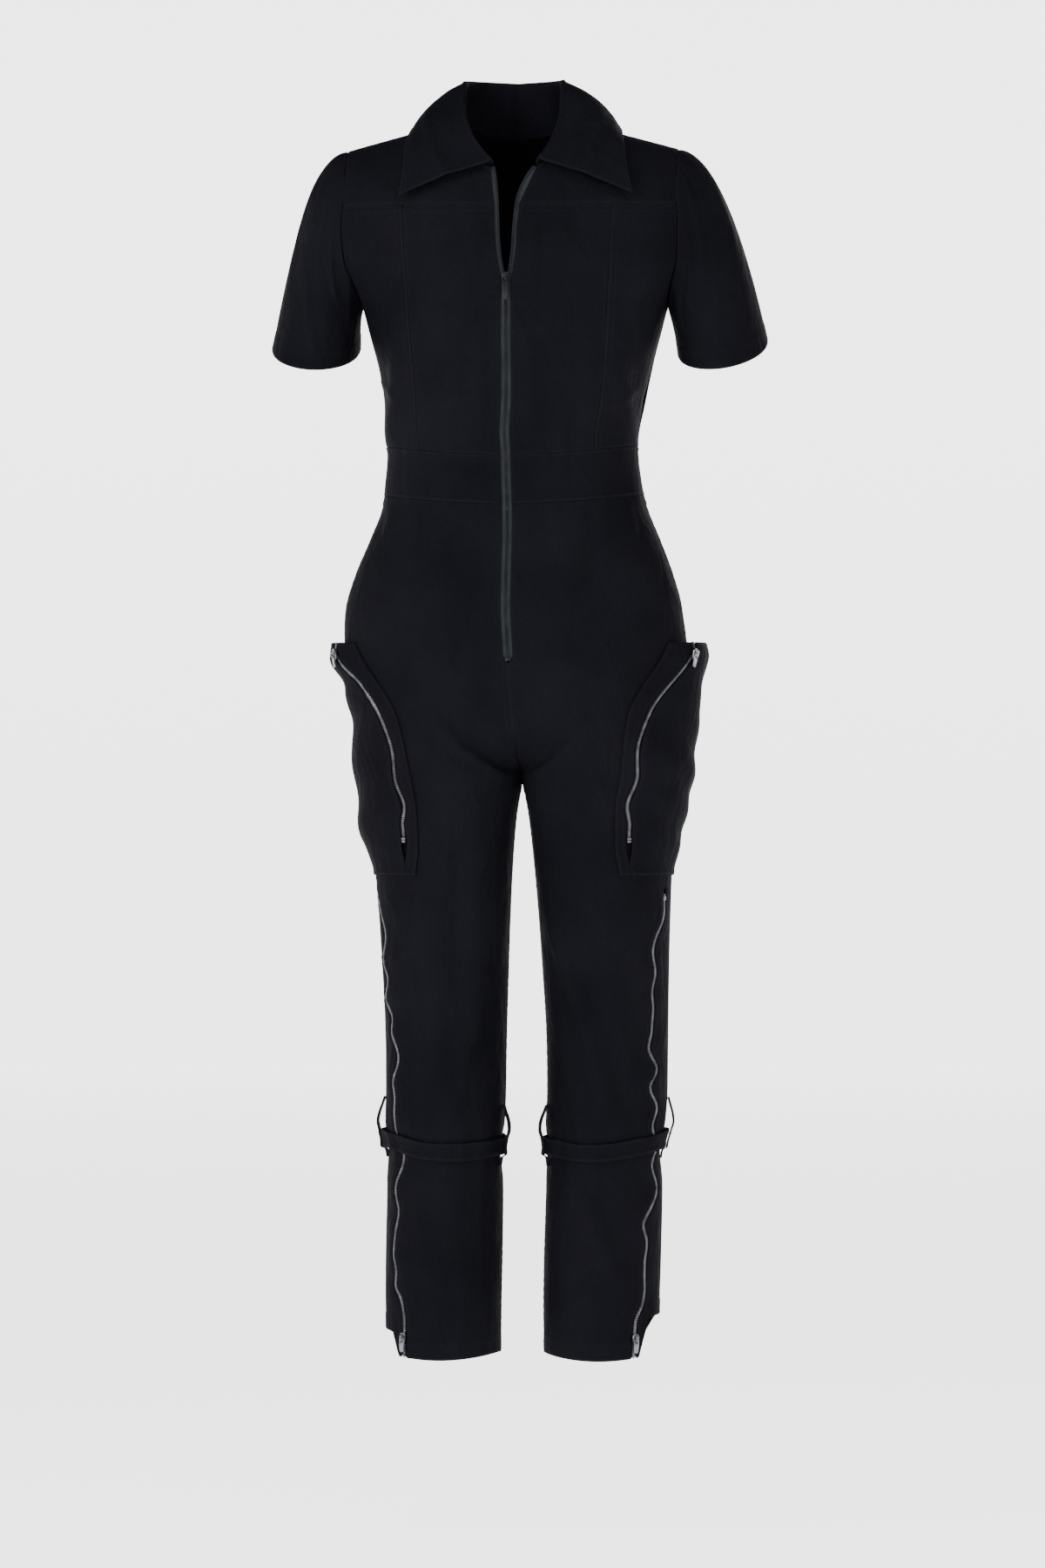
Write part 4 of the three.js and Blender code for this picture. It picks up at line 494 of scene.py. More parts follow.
def wall_mesh(name, inner, outer, worn, ring=False):
    """Closed wall between two grids. In a ring the last row joins the first."""
    rows, cols = outer.shape[:2]
    count = rows * cols
    ids = np.arange(count).reshape(rows, cols)
    if ring:
        ids = np.concatenate([ids, ids[:1]])

    def quads(a, b, c, d):
        return np.stack([a.ravel(), b.ravel(), c.ravel(), d.ravel()], axis=1)

    top = quads(ids[:-1, :-1], ids[1:, :-1], ids[1:, 1:], ids[:-1, 1:])
    faces = [top, top[:, ::-1] + count]
    for j, turn in ((0, 1), (-1, -1)):
        a, b = ids[:-1, j], ids[1:, j]
        faces.append(quads(a + count, b + count, b, a)[:, ::turn])
    if not ring:
        for i, turn in ((0, -1), (-1, 1)):
            a, b = ids[i, :-1], ids[i, 1:]
            faces.append(quads(a + count, b + count, b, a)[:, ::turn])
    faces = np.concatenate(faces)
    verts = np.concatenate([outer.reshape(-1, 3), inner.reshape(-1, 3)])
    corners = verts[faces]
    area = np.cross(corners[:, 2] - corners[:, 0], corners[:, 3] - corners[:, 1])
    if np.einsum("ij,ij->", corners.mean(1), area) < 0:
        faces = faces[:, ::-1]
    u = lengths(outer, 0).mean(1, keepdims=True) + np.zeros((rows, cols))
    v = lengths(outer, 1).mean(0, keepdims=True) + np.zeros((rows, cols))
    uv = np.tile(np.stack([u, v], axis=-1).reshape(-1, 2), (2, 1))
    return add_mesh(name, verts, faces, uv, np.concatenate([worn.ravel(), worn.ravel()]))


def grid_area(p):
    a, b = p[1:, 1:] - p[:-1, :-1], p[1:, :-1] - p[:-1, 1:]
    return float(np.linalg.norm(np.cross(a, b), axis=-1).sum() / 2)


def cloth_piece(node, p, n, seams, thick=CLOTH, lift=0.0, ring=False, keep=None,
                extra=None, nodes=(), look="cloth", body="garment"):
    """A thin sheet of cloth over a grid of points: it replaces its solid and rides on the garment."""
    closed = np.concatenate([p, p[:1]]) if ring else p
    high, worn = relief(closed, seams)
    if ring:
        high, worn = high[:-1], worn[:-1]
    if extra is not None:
        high = high + extra
    inner = p + n * lift
    outer = p + n * (lift + np.maximum(thick + high, 0.35))[..., None]
    if keep:
        inner, outer = keep(inner), keep(outer)
    name = node + "_cloth"
    piece = wall_mesh(name, inner, outer, worn, ring)
    piece.data.materials.append(materials[look])
    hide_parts(node, *nodes)
    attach(piece, body)
    wide = float(lengths(closed, 0)[-1].max()) * MM
    long = float(lengths(p, 1)[:, -1].max()) * MM
    area = min(grid_area(closed) * MM**2, wide * long)
    around, facing = (np.concatenate([g, g[:1]]) if ring else g for g in (outer, n))
    for edge, seam in seams.items():
        for row in seam["rows"]:
            STITCH_LINES.append(seam_line(around, facing, edge, row))
    return outer


def sewn_side(side, gap=0.02):
    """Keeps points of one half on their own side of the middle plane."""
    def keep(p):
        centre = np.where(p[..., 2] > CROTCH_Z, BODY("centre", p[..., 2]), LEG("centre", p[..., 2]))
        x = side * (p[..., 0] - centre)
        out = p.copy()
        out[..., 0] = np.where(x < gap, centre + side * gap, p[..., 0])
        return out
    return keep


# Bodice: columns run from the front opening or the centre back to the side, rows from the top down
NECK_SHARE = 3 / 8
BACK_SHARE = 0.92


def opening(side, z):
    return OPENING(SIDES[side], z)


def edge_x(z):
    return np.where(z > UNDERARM_Z, ARMHOLE("x", z), BODY("half", z))


def side_x(start, end, c):
    """Even steps of cloth from the princess line to the side, where the wall turns to face outwards."""
    return end - (end - start) * (1 - c) ** ROUND


def neck_point(side, t, back):
    table = NECK_BACK if back else NECK_FRONT
    x, z = table("x", t), table("z", t)
    if not back:
        x = x + (opening(side, ZIP_TOP_Z) - 29) * (1 - t) ** 2
    return x, z


def top_edge(side, share, back):
    """Neckline, then shoulder seam."""
    t = np.clip(share / NECK_SHARE, 0, 1)
    neck_x, neck_z = neck_point(side, 1 - t if back else t, back)
    x = lerp(NECK_HALF, TIP_X, (share - NECK_SHARE) / (1 - NECK_SHARE))
    return np.where(share < NECK_SHARE, neck_x, x), np.where(share < NECK_SHARE, neck_z, ridge(x))


def column_x(side, share, z, back):
    """Distance from the middle of a column at a height."""
    princess = PRINCESS("x", z) * (BACK_SHARE if back else 1)
    start = 0 if back else opening(side, z)
    inner = lerp(start, princess, np.clip(share / NECK_SHARE, 0, 1))
    outer = side_x(princess, edge_x(z), np.clip((share - NECK_SHARE) / (1 - NECK_SHARE), 0, 1))
    return np.where(share < NECK_SHARE, inner, outer)


def hold_side(p, back):
    """Points of a side seam stay on their own side of it."""
    p[..., 1] = np.maximum(p[..., 1], SEAM) if back else np.minimum(p[..., 1], -SEAM)
    return p


def upper_points(side, share, rows, back):
    """Grid above the yoke seam, from the neckline and the shoulder down."""
    share, t = np.meshgrid(share, rows, indexing="ij")
    top_x, top_z = top_edge(side, share, back)
    x = lerp(top_x, column_x(side, share, YOKE_Z, back), t)
    z = lerp(top_z, YOKE_Z, t) + (0 if back else SEAM * (t == 1))
    x = np.where(share == 1, ARMHOLE("x", z), x)
    in_shoulder = (t == 0) & (share >= NECK_SHARE)
    z = np.where(in_shoulder, ridge(x) - 0.02, z)
    p, n = trunk(side, x, z, back)
    p[..., 1] = np.where(in_shoulder, SEAM if back else -SEAM, p[..., 1])
    return p, n


def lower_points(side, share, rows, back, gaps=(SEAM, SEAM)):
    """Grid from the yoke seam down to the waist seam."""
    share, row = np.meshgrid(share, rows, indexing="ij")
    x = column_x(side, share, row, back)
    z = row + WAIST_SHARE("share", row) * WAIST_LIFT * (x / BODY("half", row)) ** 2
    z = z - gaps[0] * (row == rows[0]) + gaps[1] * (row == rows[-1])
    below = (row <= UNDERARM_Z) & (share == 1)
    x = np.where(below, BODY("half", z), np.minimum(x, BODY("half", z)))
    p, n = trunk(side, x, z, back)
    return hold_side(p, back), n


UPPER_ROWS = np.linspace(0, 1, 30) ** 1.8
LOWER_ROWS = lerp(YOKE_Z, WAIST_TOP_Z, stops(285, 4))
CENTRE_COLUMNS = stops(105, 4.5) * NECK_SHARE
SIDE_COLUMNS = lerp(NECK_SHARE, 1, stops(92, 4.5))
ALL_COLUMNS = np.concatenate([CENTRE_COLUMNS, SIDE_COLUMNS[1:]])


def add_bodice(side):
    name = SIDES[side]
    p, n = upper_points(side, ALL_COLUMNS, UPPER_ROWS, False)
    cloth_piece("front_yoke_" + name, p, n, {"u0": ZIPPED, "u1": PLAIN, "v0": EDGE_ROW, "v1": PLAIN})
    p, n = lower_points(side, CENTRE_COLUMNS, LOWER_ROWS, False)
    p[-1] -= unit(p[-1] - p[-2]) * SEAM
    cloth_piece("centre_front_" + name, p, n, {"u0": ZIPPED, "u1": PLAIN, "v0": FELLED, "v1": PLAIN})
    p, n = lower_points(side, SIDE_COLUMNS, LOWER_ROWS, False)
    p[0] += unit(p[1] - p[0]) * SEAM
    cloth_piece("side_front_" + name, p, n, {"u0": FELLED, "u1": PLAIN, "v0": FELLED, "v1": PLAIN})


def mirror_join(left, right):
    """One grid across the middle, from the left half's outer edge to the right half's."""
    return np.concatenate([left[::-1], right[1:]])


def add_back():
    halves = []
    for side in (-1, 1):
        above = upper_points(side, ALL_COLUMNS, UPPER_ROWS[:-1], True)
        below = lower_points(side, ALL_COLUMNS, LOWER_ROWS, True, (0, SEAM))
        halves.append([np.concatenate([a, b], axis=1) for a, b in zip(above, below)])
    p, n = (mirror_join(halves[0][k], halves[1][k]) for k in (0, 1))
    cloth_piece("back_bodice", p, n, {"u0": PLAIN, "u1": PLAIN, "v0": EDGE_ROW, "v1": PLAIN})


def add_waistband():
    rows = lerp(WAIST_TOP_Z, WAIST_BOTTOM_Z, stops(56, 4))

    def points(side, back):
        share, row = np.meshgrid(ALL_COLUMNS, rows, indexing="ij")
        x = column_x(side, share, row, back)
        z = row + WAIST_LIFT * (x / BODY("half", row)) ** 2
        z = z - SEAM * (row == rows[0]) + SEAM * (row == rows[-1])
        p, n = trunk(side, np.minimum(x, BODY("half", z)), z, back)
        return hold_side(p, back), n

    for side in (-1, 1):
        p, n = points(side, False)
        cloth_piece("waistband_front_" + SIDES[side], p, n,
                    {"u0": ZIPPED, "u1": PLAIN, "v0": EDGE_ROW, "v1": EDGE_ROW})
    left, right = points(-1, True), points(1, True)
    p, n = (mirror_join(a, b) for a, b in zip(left, right))
    cloth_piece("waistband_back", p, n, {"u0": PLAIN, "u1": PLAIN, "v0": EDGE_ROW, "v1": EDGE_ROW})


# Sleeves: rings from the armhole to the hem. A turn starts at the shoulder and runs down the front.
ARM_MIDDLE, ARM_REACH = (TIP_Z + UNDERARM_Z) / 2, (TIP_Z - UNDERARM_Z) / 2
SLEEVE_FOLDS = [  # turn and share of the length at both ends, width, height
    (0.9, 0.06, 1.5, 0.42, 6, 2.0), (1.5, 0.10, 2.1, 0.38, 6, 1.8), (2.3, 0.04, 2.5, 0.5, 7, 1.6),
    (1.2, 0.55, 1.7, 0.9, 8, 1.6), (4.7, 0.08, 4.1, 0.45, 7, 2.2), (5.3, 0.05, 4.9, 0.4, 6, 1.8),
    (3.9, 0.04, 3.7, 0.5, 7, 1.8), (4.6, 0.5, 4.3, 0.9, 8, 1.6), (0.2, 0.25, 0.5, 0.7, 9, 1.2),
]


def arm_ring(turn):
    """Points of the armhole seam with the torso's outward directions."""
    z = ARM_MIDDLE + ARM_REACH * np.cos(turn)
    x = ARMHOLE("x", z)
    front, back = trunk(1, x, z, False), trunk(1, x, z, True)
    behind = (turn > np.pi)[..., None]
    p, n = (np.where(behind, b, f) for f, b in zip(front, back))
    tip = (np.abs(np.sin(turn)) < 1e-6)
    p[..., 1] = np.where(tip, 0, p[..., 1])
    p[..., 0] -= BODY("centre", z)
    return p, n


def sleeve_points(side, turn, k, start):
    s = SLEEVE[side]
    c, sine = np.cos(turn), np.sin(turn)
    (outer_x, outer_z), (inner_x, inner_z) = s["outer"], s["inner"]
    high = (1 + c) / 2
    end = np.stack([
        (outer_x + inner_x) / 2 + (outer_x - inner_x) / 2 * c,
        s["y"] - s["deep"] * sine,
        lerp(inner_z, outer_z, high) - s["tip"] * sine,
    ], axis=-1)
    zero = np.zeros_like(c)
    leave = np.stack([lerp(14, 150, high), zero, lerp(-44, -5, high)], axis=-1)
    reach = np.stack([lerp(4, 40, high), zero, lerp(-40, -180, high)], axis=-1)
    begin = arm_ring(turn)[0] + np.stack([start, zero, zero], axis=-1)
    k = np.asarray(k)[..., None]
    k2, k3 = k * k, k**3
    return (begin * (2 * k3 - 3 * k2 + 1) + leave * (k3 - 2 * k2 + k)
            + end * (3 * k2 - 2 * k3) + reach * (k3 - k2))


def sleeve_normals(side, turn, k, start):
    e = 0.01
    around = sleeve_points(side, turn + e, k, start) - sleeve_points(side, turn - e, k, start)
    along = sleeve_points(side, turn, k + e, start) - sleeve_points(side, turn, np.maximum(k - e, 0), start)
    return unit(np.cross(around, along))


def add_sleeve(side):
    turns = np.linspace(0, 2 * np.pi, 132, endpoint=False) + 1e-7
    steps = stops(185, 4)
    first = sleeve_normals(1, turns, np.zeros_like(turns), np.zeros_like(turns))
    start = CLEAR + CLOTH * np.linalg.norm(first - arm_ring(turns)[1], axis=-1)
    turn, k = np.meshgrid(turns, steps, indexing="ij")
    shift = np.broadcast_to(start[:, None], turn.shape)
    p = sleeve_points(side, turn, k, shift)
    n = sleeve_normals(side, turn, k, shift)
    high = 0
    for t0, k0, t1, k1, wide, tall in SLEEVE_FOLDS:
        fold = {"bow": 0, "wide": wide, "high": tall}
        high = high + fold_height(fold, 60 * turn, 185 * k, (60 * t0, 185 * k0), (60 * t1, 185 * k1))
    p = p + n * np.asarray(high * smooth(k / 0.06) * smooth((1 - k) / 0.1))[..., None]
    centre = BODY("centre", ARM_MIDDLE + ARM_REACH * np.cos(turn)) * (1 - k)
    p[..., 0] = side * p[..., 0] + centre
    n[..., 0] *= side
    cloth_piece("sleeve_" + SIDES[side], p, n, {"v0": PLAIN, "v1": HEM}, ring=True)


# Collar: stand, roll and leaf in one strip. s runs from the centre back to the front end, t over the roll.
COLLAR_STOPS = np.array([0, 0.18, 0.32, 0.39, 0.46, 0.59, 0.73, 0.87, 1])


def collar_points(side, s, t):
    table = COLLAR[side]
    back = s < 0.5
    share = np.where(back, 1 - 2 * s, 2 - 2 * s)
    seats = []
    for behind in (True, False):
        x, z = neck_point(side, share, behind)
        seats.append(trunk(side, x, z, behind)[0])
    seat = np.where(back[..., None], seats[0], seats[1])
    base = np.stack([side * seat[..., 0], seat[..., 1], seat[..., 2]], axis=-1)
    inwards = unit(-base * (1, 1, 0))
    base = base + 0.8 * inwards + (0, 0, 0.6)
    roll = np.stack([table(c, s) for c in ("roll_x", "roll_y", "roll_z")], axis=-1)
    edge = np.stack([table(c, s) for c in ("edge_x", "edge_y", "edge_z")], axis=-1)
    out = unit((edge - roll) * (1, 1, 0))
    fold_in = roll - 2.2 * out - (0, 0, 3)
    fold_out = roll + 2.8 * out - (0, 0, 2.5)
    bow = unit(out * (1, 1, 0) + (0, 0, 1)) * table("lift", s)[..., None]
    leaf = [lerp(fold_out, edge, c) + bow * (4 * c * (1 - c)) for c in (0, 0.25, 0.5, 0.75, 1)]
    path = [base, lerp(base, fold_in, 0.56), fold_in, roll, *leaf]
    knots = COLLAR_STOPS
    tangents = [
        (path[min(i + 1, 8)] - path[max(i - 1, 0)]) / (knots[min(i + 1, 8)] - knots[max(i - 1, 0)])
        for i in range(9)
    ]
    i = np.clip(np.searchsorted(knots, t, "right") - 1, 0, 7)
    h = (knots[i + 1] - knots[i])[..., None]
    c = ((t - knots[i])[..., None]) / h
    pick = lambda parts, k: np.take_along_axis(np.stack(parts), k[None, ..., None], axis=0)[0]
    a, b, ma, mb = pick(path, i), pick(path, i + 1), pick(tangents, i), pick(tangents, i + 1)
    return (a * (2 * c**3 - 3 * c**2 + 1) + h * ma * (c**3 - 2 * c**2 + c)
            + b * (3 * c**2 - 2 * c**3) + h * mb * (c**3 - c**2))


def add_collar():
    s, t = np.meshgrid(stops(290, 4), stops(165, 3), indexing="ij")
    halves = []
    for side in (-1, 1):
        p = collar_points(side, s, t)
        e = 0.01
        ds = collar_points(side, np.minimum(s + e, 1), t) - collar_points(side, np.maximum(s - e, 0), t)
        dt = collar_points(side, s, np.minimum(t + e, 1)) - collar_points(side, s, np.maximum(t - e, 0))
        n = unit(np.cross(ds, dt))
        n[0, :, 0] = 0
        # soft rolls across the leaf, where the cloth stands up to the shoulder
        leaf = smooth((t - 0.5) / 0.15)
        tall = 2.6 * np.exp(-(((t - 0.74 + 0.12 * (s - 0.7)) / 0.05) ** 2)) * smooth((s - 0.55) / 0.12)
        tall = tall + 1.1 * np.sin(19 * s + 3 * t + side) * np.sin(np.pi * t)
        p = p + n * (tall * leaf * smooth((1 - t) / 0.08))[..., None]
        p[..., 0] *= side
        n[..., 0] *= side
        halves.append((p, n))
    p, n = (mirror_join(halves[0][k], halves[1][k]) for k in (0, 1))
    cloth_piece("collar", p, n, {"u0": COLLAR_EDGE, "u1": COLLAR_EDGE, "v0": PLAIN, "v1": COLLAR_EDGE})


# Trousers
ZIP_WAVE, POCKET_WAVE = 1.9, 1.6


def outseam_turn(side, z):
    low = np.minimum(z, -860)
    # the zip's tape is shorter than the cloth beside it, so the seam runs in small waves
    taper = smooth((LEG_ZIP_TOP_Z - z) / 40) * smooth((z - HEM_Z - 55) / 40)
    waves = ZIP_WAVE * np.sin(z / 8.6 + 1.6 * np.sin(z / 57 + side) + side) * taper
    zip_turn = turn_at(LEG_ZIP(SIDES[side], low) + waves, low, False)
    return lerp(np.pi, zip_turn, smooth((-640 - z) / 220))


def outseam_gap(z):
    return lerp(SEAM, ZIP_EDGE - 2, smooth((LEG_ZIP_TOP_Z + 9 - z) / 8))


def hem_rise(turn, row):
    """The hem dips a little in front and rises towards the zip."""
    return (4 * np.cos(2 * turn) + 3) * np.interp(row, (HEM_Z, -1390, -1360), (1, 0.6, 0))


# Beside the zip the back's hem is drawn up, which rounds its corner. Distances run from the zip.
HEM_CORNER = {"left": 26, "right": 44, "start": 5, "rise": 18, "end": 135, "fall": 60, "top": -1300}


def hem_corner(side, away, row):
    low = np.clip((HEM_CORNER["top"] - row) / (HEM_CORNER["top"] - HEM_Z), 0, 1) ** 2
    near = smooth((away - HEM_CORNER["start"]) / HEM_CORNER["rise"])
    return HEM_CORNER[SIDES[side]] * low * near * smooth((HEM_CORNER["end"] - away) / HEM_CORNER["fall"])


TROUSER_ROWS = np.concatenate([
    lerp(WAIST_BOTTOM_Z, CROTCH_Z, stops(307, 5)[:-6]),
    np.linspace(CROTCH_Z + 7, CROTCH_Z - 20, 10),
    lerp(CROTCH_Z - 24, -1150, np.linspace(0, 1, 84)),
    lerp(-1153, -1200, np.linspace(0, 1, 18)),
    lerp(-1204, HEM_Z, stops(214, 5)[5:]),
])


def leg_points(side, back, share, rows=TROUSER_ROWS):
    share, row = np.meshgrid(share, rows, indexing="ij")
    seam = outseam_turn(side, row)
    gap = outseam_gap(row) / radius(seam, row)
    sign, inner = (-1, 2 * np.pi) if back else (1, 0)
    start = np.full(row.shape, float(inner))
    if not back:
        start = turn_at(ZIP_EDGE * smooth((row - ZIP_END_Z + 3) / 3), row, False)
    start = np.where(row <= CROTCH_Z, inner + sign * SEAM / radius(inner + sign * 0.02, row), start)
    turn = lerp(start, seam - sign * gap, share)
    x = ring_point(turn, row)[0]
    z = row + WAIST_LIFT * smooth((row + 560) / 100) * (x / BODY("half", row)) ** 2
    z = z - 2 * SEAM * (row == rows[0]) + hem_rise(turn, row)
    if back:
        z = z + hem_corner(side, (turn - seam) * radius(seam, row), row)
    return trousers(side, turn, z)


LEG_COLUMNS = stops(170, 4)


def add_trousers(side):
    name = SIDES[side]
    for back in (False, True):
        p, n = leg_points(side, back, LEG_COLUMNS)
        seams = {"u0": SINGLE if back else {**SINGLE, "pucker": 0.5}, "u1": ZIPPED, "v0": PLAIN, "v1": HEM}
        node = ("trouser_back_" if back else "trouser_front_") + name
        cloth_piece(node, p, n, seams, keep=sewn_side(side))


# Pockets
def bag_height(side, share, z):
    high = POCKET(SIDES[side], z) * smooth((z - POCKET_END_Z) / 46)
    dome = np.sin(np.pi * np.clip(share, 0, 1)) ** 0.7
    return high * dome * (1 + 0.05 * np.sin(z / 13 + 5 * share + side))


def pocket_points(side, turn, z, share):
    p, n = trousers(side, turn, z)
    return p + n * (CLOTH + POCKET_LIFT + bag_height(side, share, z))[..., None], n


def pocket_limits(z):
    half = np.where(z > CROTCH_Z, BODY("half", z), LEG("out", z) + LEG("half", z))
    edge = turn_at(POCKET("edge", z), z, False)
    taper = smooth((-650 - z) / 30) * smooth((z + 820) / 24)
    waves = POCKET_WAVE * np.sin(z / 11 + 1.2 * np.sin(z / 43)) * taper
    middle = turn_at(np.minimum(POCKET("zip", z) + waves, half - 4), z, False)
    back = turn_at(lerp(150, 128, smooth((-600 - z) / 120)), z, True)
    return edge, middle, back


def add_pocket(side):
    name = SIDES[side]
    rows = lerp(POCKET_TOP_Z, POCKET_END_Z, stops(266, 4))
    edge, middle, back = pocket_limits(rows)
    gap = lerp(ZIP_EDGE - 2, SEAM, smooth((POCKET_ZIP_END_Z - 6 - rows) / 20)) / radius(middle, rows)

    def grid(start, end, share):
        turn = lerp(start, end, share[:, None])
        z = np.broadcast_to(rows, turn.shape)
        c = (turn - edge) / (back - edge)
        return turn, z, c, *pocket_points(side, turn, z, c)

    turn, z, c, p, n = grid(edge, middle - gap, stops(16, 2))
    puffed = {**EDGE_ROW, "pucker": 0.8}
    cloth_piece("pocket_front_" + name, p, n, {"u0": puffed, "u1": ZIPPED, "v0": PLAIN, "v1": puffed})
    turn, z, c, p, n = grid(middle + gap, back, stops(140, 3.5))
    # soft diagonal wrinkles of the sagging bag, deepest in its middle and drawn in along the zip
    slope = z / 9.5 + 7 * c + 1.4 * np.sin(z / 37 + 2 * side)
    tall = (1.5 * np.sin(slope) * np.sin(np.pi * np.clip(c, 0, 1)) + 0.7 * np.sin(z / 5.2 + 3 * c)
            * np.exp(-((c / 0.14) ** 2)))
    tall = tall * smooth((z - POCKET_END_Z - 6) / 40) * smooth((POCKET_TOP_Z - z) / 12)
    cloth_piece("pocket_bag_" + name, p + n * tall[..., None], n,
                {"u0": ZIPPED, "u1": EDGE_ROW, "v0": EDGE_ROW, "v1": EDGE_ROW})
    line = rows[rows >= POCKET_ZIP_END_Z]
    edge, middle, back = pocket_limits(line)
    p, n = pocket_points(side, middle, line, (middle - edge) / (back - edge))
    add_chain("pocket_zip_chain_" + name, p + n * CHAIN_LIFT, n, "silver")
    add_backing("pocket_zip_tape_" + name, p, n, 6.5)
    add_stop("pocket_zip_stop_" + name, p[-1], p[-2], n[-1], (5.0, 7.0, 3.2), "silver")


def add_leg_zip(side):
    name = SIDES[side]
    rows = TROUSER_ROWS[TROUSER_ROWS <= LEG_ZIP_TOP_Z]
    front, n_front = leg_points(side, False, np.array([0.93, 1.0]), rows)
    back, n_back = leg_points(side, True, np.array([0.93, 1.0]), rows)
    under = 6
    f, b = front[1], back[1]
    f2 = f + unit(front[0] - f) * under
    b2 = b + unit(back[0] - b) * under
    n = unit(n_front[1] + n_back[1])
    p = np.stack([f2, f, lerp(f, b, 0.5), b, b2])
    p[:, -1, 2] += 3
    normals = np.broadcast_to(n, p.shape)
    cloth_piece("leg_zip_tape_" + name, p, normals, {}, thick=0.9, lift=-1.9, look="tape")
    add_chain("leg_zip_chain_" + name, p[2] + n * CHAIN_LIFT, n, "silver")
    add_stop("leg_zip_stop_" + name, p[2][1], p[2][0], n[1], (4.6, 5.0, 2.6), "silver")


def add_backing(name, p, n, half):
    """Woven tape that shows beside the pocket's zip."""
    along = np.gradient(p, axis=0)
    across = unit(np.cross(along, n))
    grid = np.stack([p - across * half, p, p + across * half])
    wall = wall_mesh(name, grid - n * 0.9, grid - n * 0.2, np.zeros(grid.shape[:2]))
    wall.data.materials.append(materials["tape"])
    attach(wall, "garment")
    float(lengths(p[None], 1)[0, -1]) * MM


def add_front_zip():
    rows = lerp(ZIP_TOP_Z, ZIP_END_Z, stops(561, 4))
    for side in (-1, 1):
        name = SIDES[side]
        reach = np.array([-5.1, -2.5, 0, 4.5, 9])
        x = opening(side, rows)[None] + reach[:, None]
        p, n = trunk(side, x, np.broadcast_to(rows, x.shape), False)
        # the tape's lightened tone is painted highlight for the folded cloth edges beside the teeth
        cloth_piece("front_zip_tape_" + name, p, n, {}, thick=0.9, lift=-1.0, look="front_tape_painted_highlight")
        line = rows[rows > SLIDER_Z + 4]
        p, n = trunk(side, opening(side, line) - 4.2, line, False)
        add_chain("front_zip_teeth_" + name, p + n * 0.2, n, "gunmetal", opened=side)
    line = rows[rows < SLIDER_Z + 1]
    p, n = trunk(1, np.zeros_like(line), line, False)
    add_chain("front_zip_chain", p + n * 0.2, n, "gunmetal")
    # rows of bar tacking across the zip's lower end
    across = np.linspace(-7.5, 7.5, 9)
    for drop in (-0.6, 0.0, 0.6, 1.2):
        p, n = trunk(1, across, np.full(9, ZIP_END_Z - drop), False)
        STITCH_LINES.append((p + n * (CLOTH + 0.4), n))
    add_stop("front_zip_stop", p[4], p[4] - (0, 0, 1), n[4], (6.4, 4.6, 3.0), "gunmetal")


# Knee straps with their loops
STRAP = {"z": -1172, "wave": 3.5, "front": 5, "outer": 4, "high": 21, "thick": 1.6, "lift": 3.5}
LOOPS = {"outer": math.pi, "inner": 0.22}
LOOP_SWELL, LOOP_REACH, LOOP_HALF, LOOP_THICK = 3, 0.32, 5, 2.2


def strap_middle(turn):
    drop = STRAP["front"] * np.sin(turn) + STRAP["outer"] * np.cos(turn)
    return STRAP["z"] + STRAP["wave"] * np.cos(2 * turn) - drop


def strap_lift(turn):
    swell = 0
    for place in LOOPS.values():
        away = np.arctan2(np.sin(turn - place), np.cos(turn - place))
        swell = swell + LOOP_SWELL * np.exp(-((away / LOOP_REACH) ** 2))
    return STRAP["lift"] + swell


def add_straps(side):
    name = SIDES[side]
    turn, v = np.meshgrid(np.linspace(0, 2 * np.pi, 150, endpoint=False), stops(21, 2), indexing="ij")
    z = strap_middle(turn) + (0.5 - v) * STRAP["high"]
    p, n = trousers(side, turn, z)
    p = p + n * strap_lift(turn)[..., None]
    rows = {"v0": EDGE_ROW, "v1": EDGE_ROW}
    cloth_piece("knee_strap_" + name, p, n, rows, thick=STRAP["thick"], ring=True)
    for title, place in LOOPS.items():
        centre, over = float(strap_middle(place)), float(strap_lift(place)) + STRAP["thick"] + 2 * CLEAR
        sewn = CLOTH + CLEAR
        drops = np.array([46, 38, 28, 18, 11.5, 0, -11.5, -14.5, -24])
        lifts = np.array([sewn, 4.5, 8, over + 1.2, over + 0.4, over + 0.2, over + 0.4, 4, sewn])
        path = Table("z lift", *zip(drops, lifts))
        z = centre + np.linspace(46, -24, 36)
        d, z = np.meshgrid(np.linspace(-LOOP_HALF, LOOP_HALF, 5), z, indexing="ij")
        p, n = trousers(side, place + d / radius(place, z), z)
        p = p + n * path("lift", z - centre)[..., None]
        cloth_piece(f"strap_loop_{title}_{name}", p, n, {"u0": PLAIN, "u1": PLAIN}, thick=LOOP_THICK)


# Repeats: stitches and zip teeth set along lines by Geometry Nodes
def add_node(tree, kind, settings=(), links=()):
    """Adds a node. Links give an input's number or name, and a value or another node's output."""
    made = tree.nodes.new(kind)
    for key, value in dict(settings).items():
        setattr(made, key, value)
    for key, value in dict(links).items():
        if isinstance(value, bpy.types.NodeSocket):
            tree.links.new(value, made.inputs[key])
        else:
            made.inputs[key].default_value = value
    return made


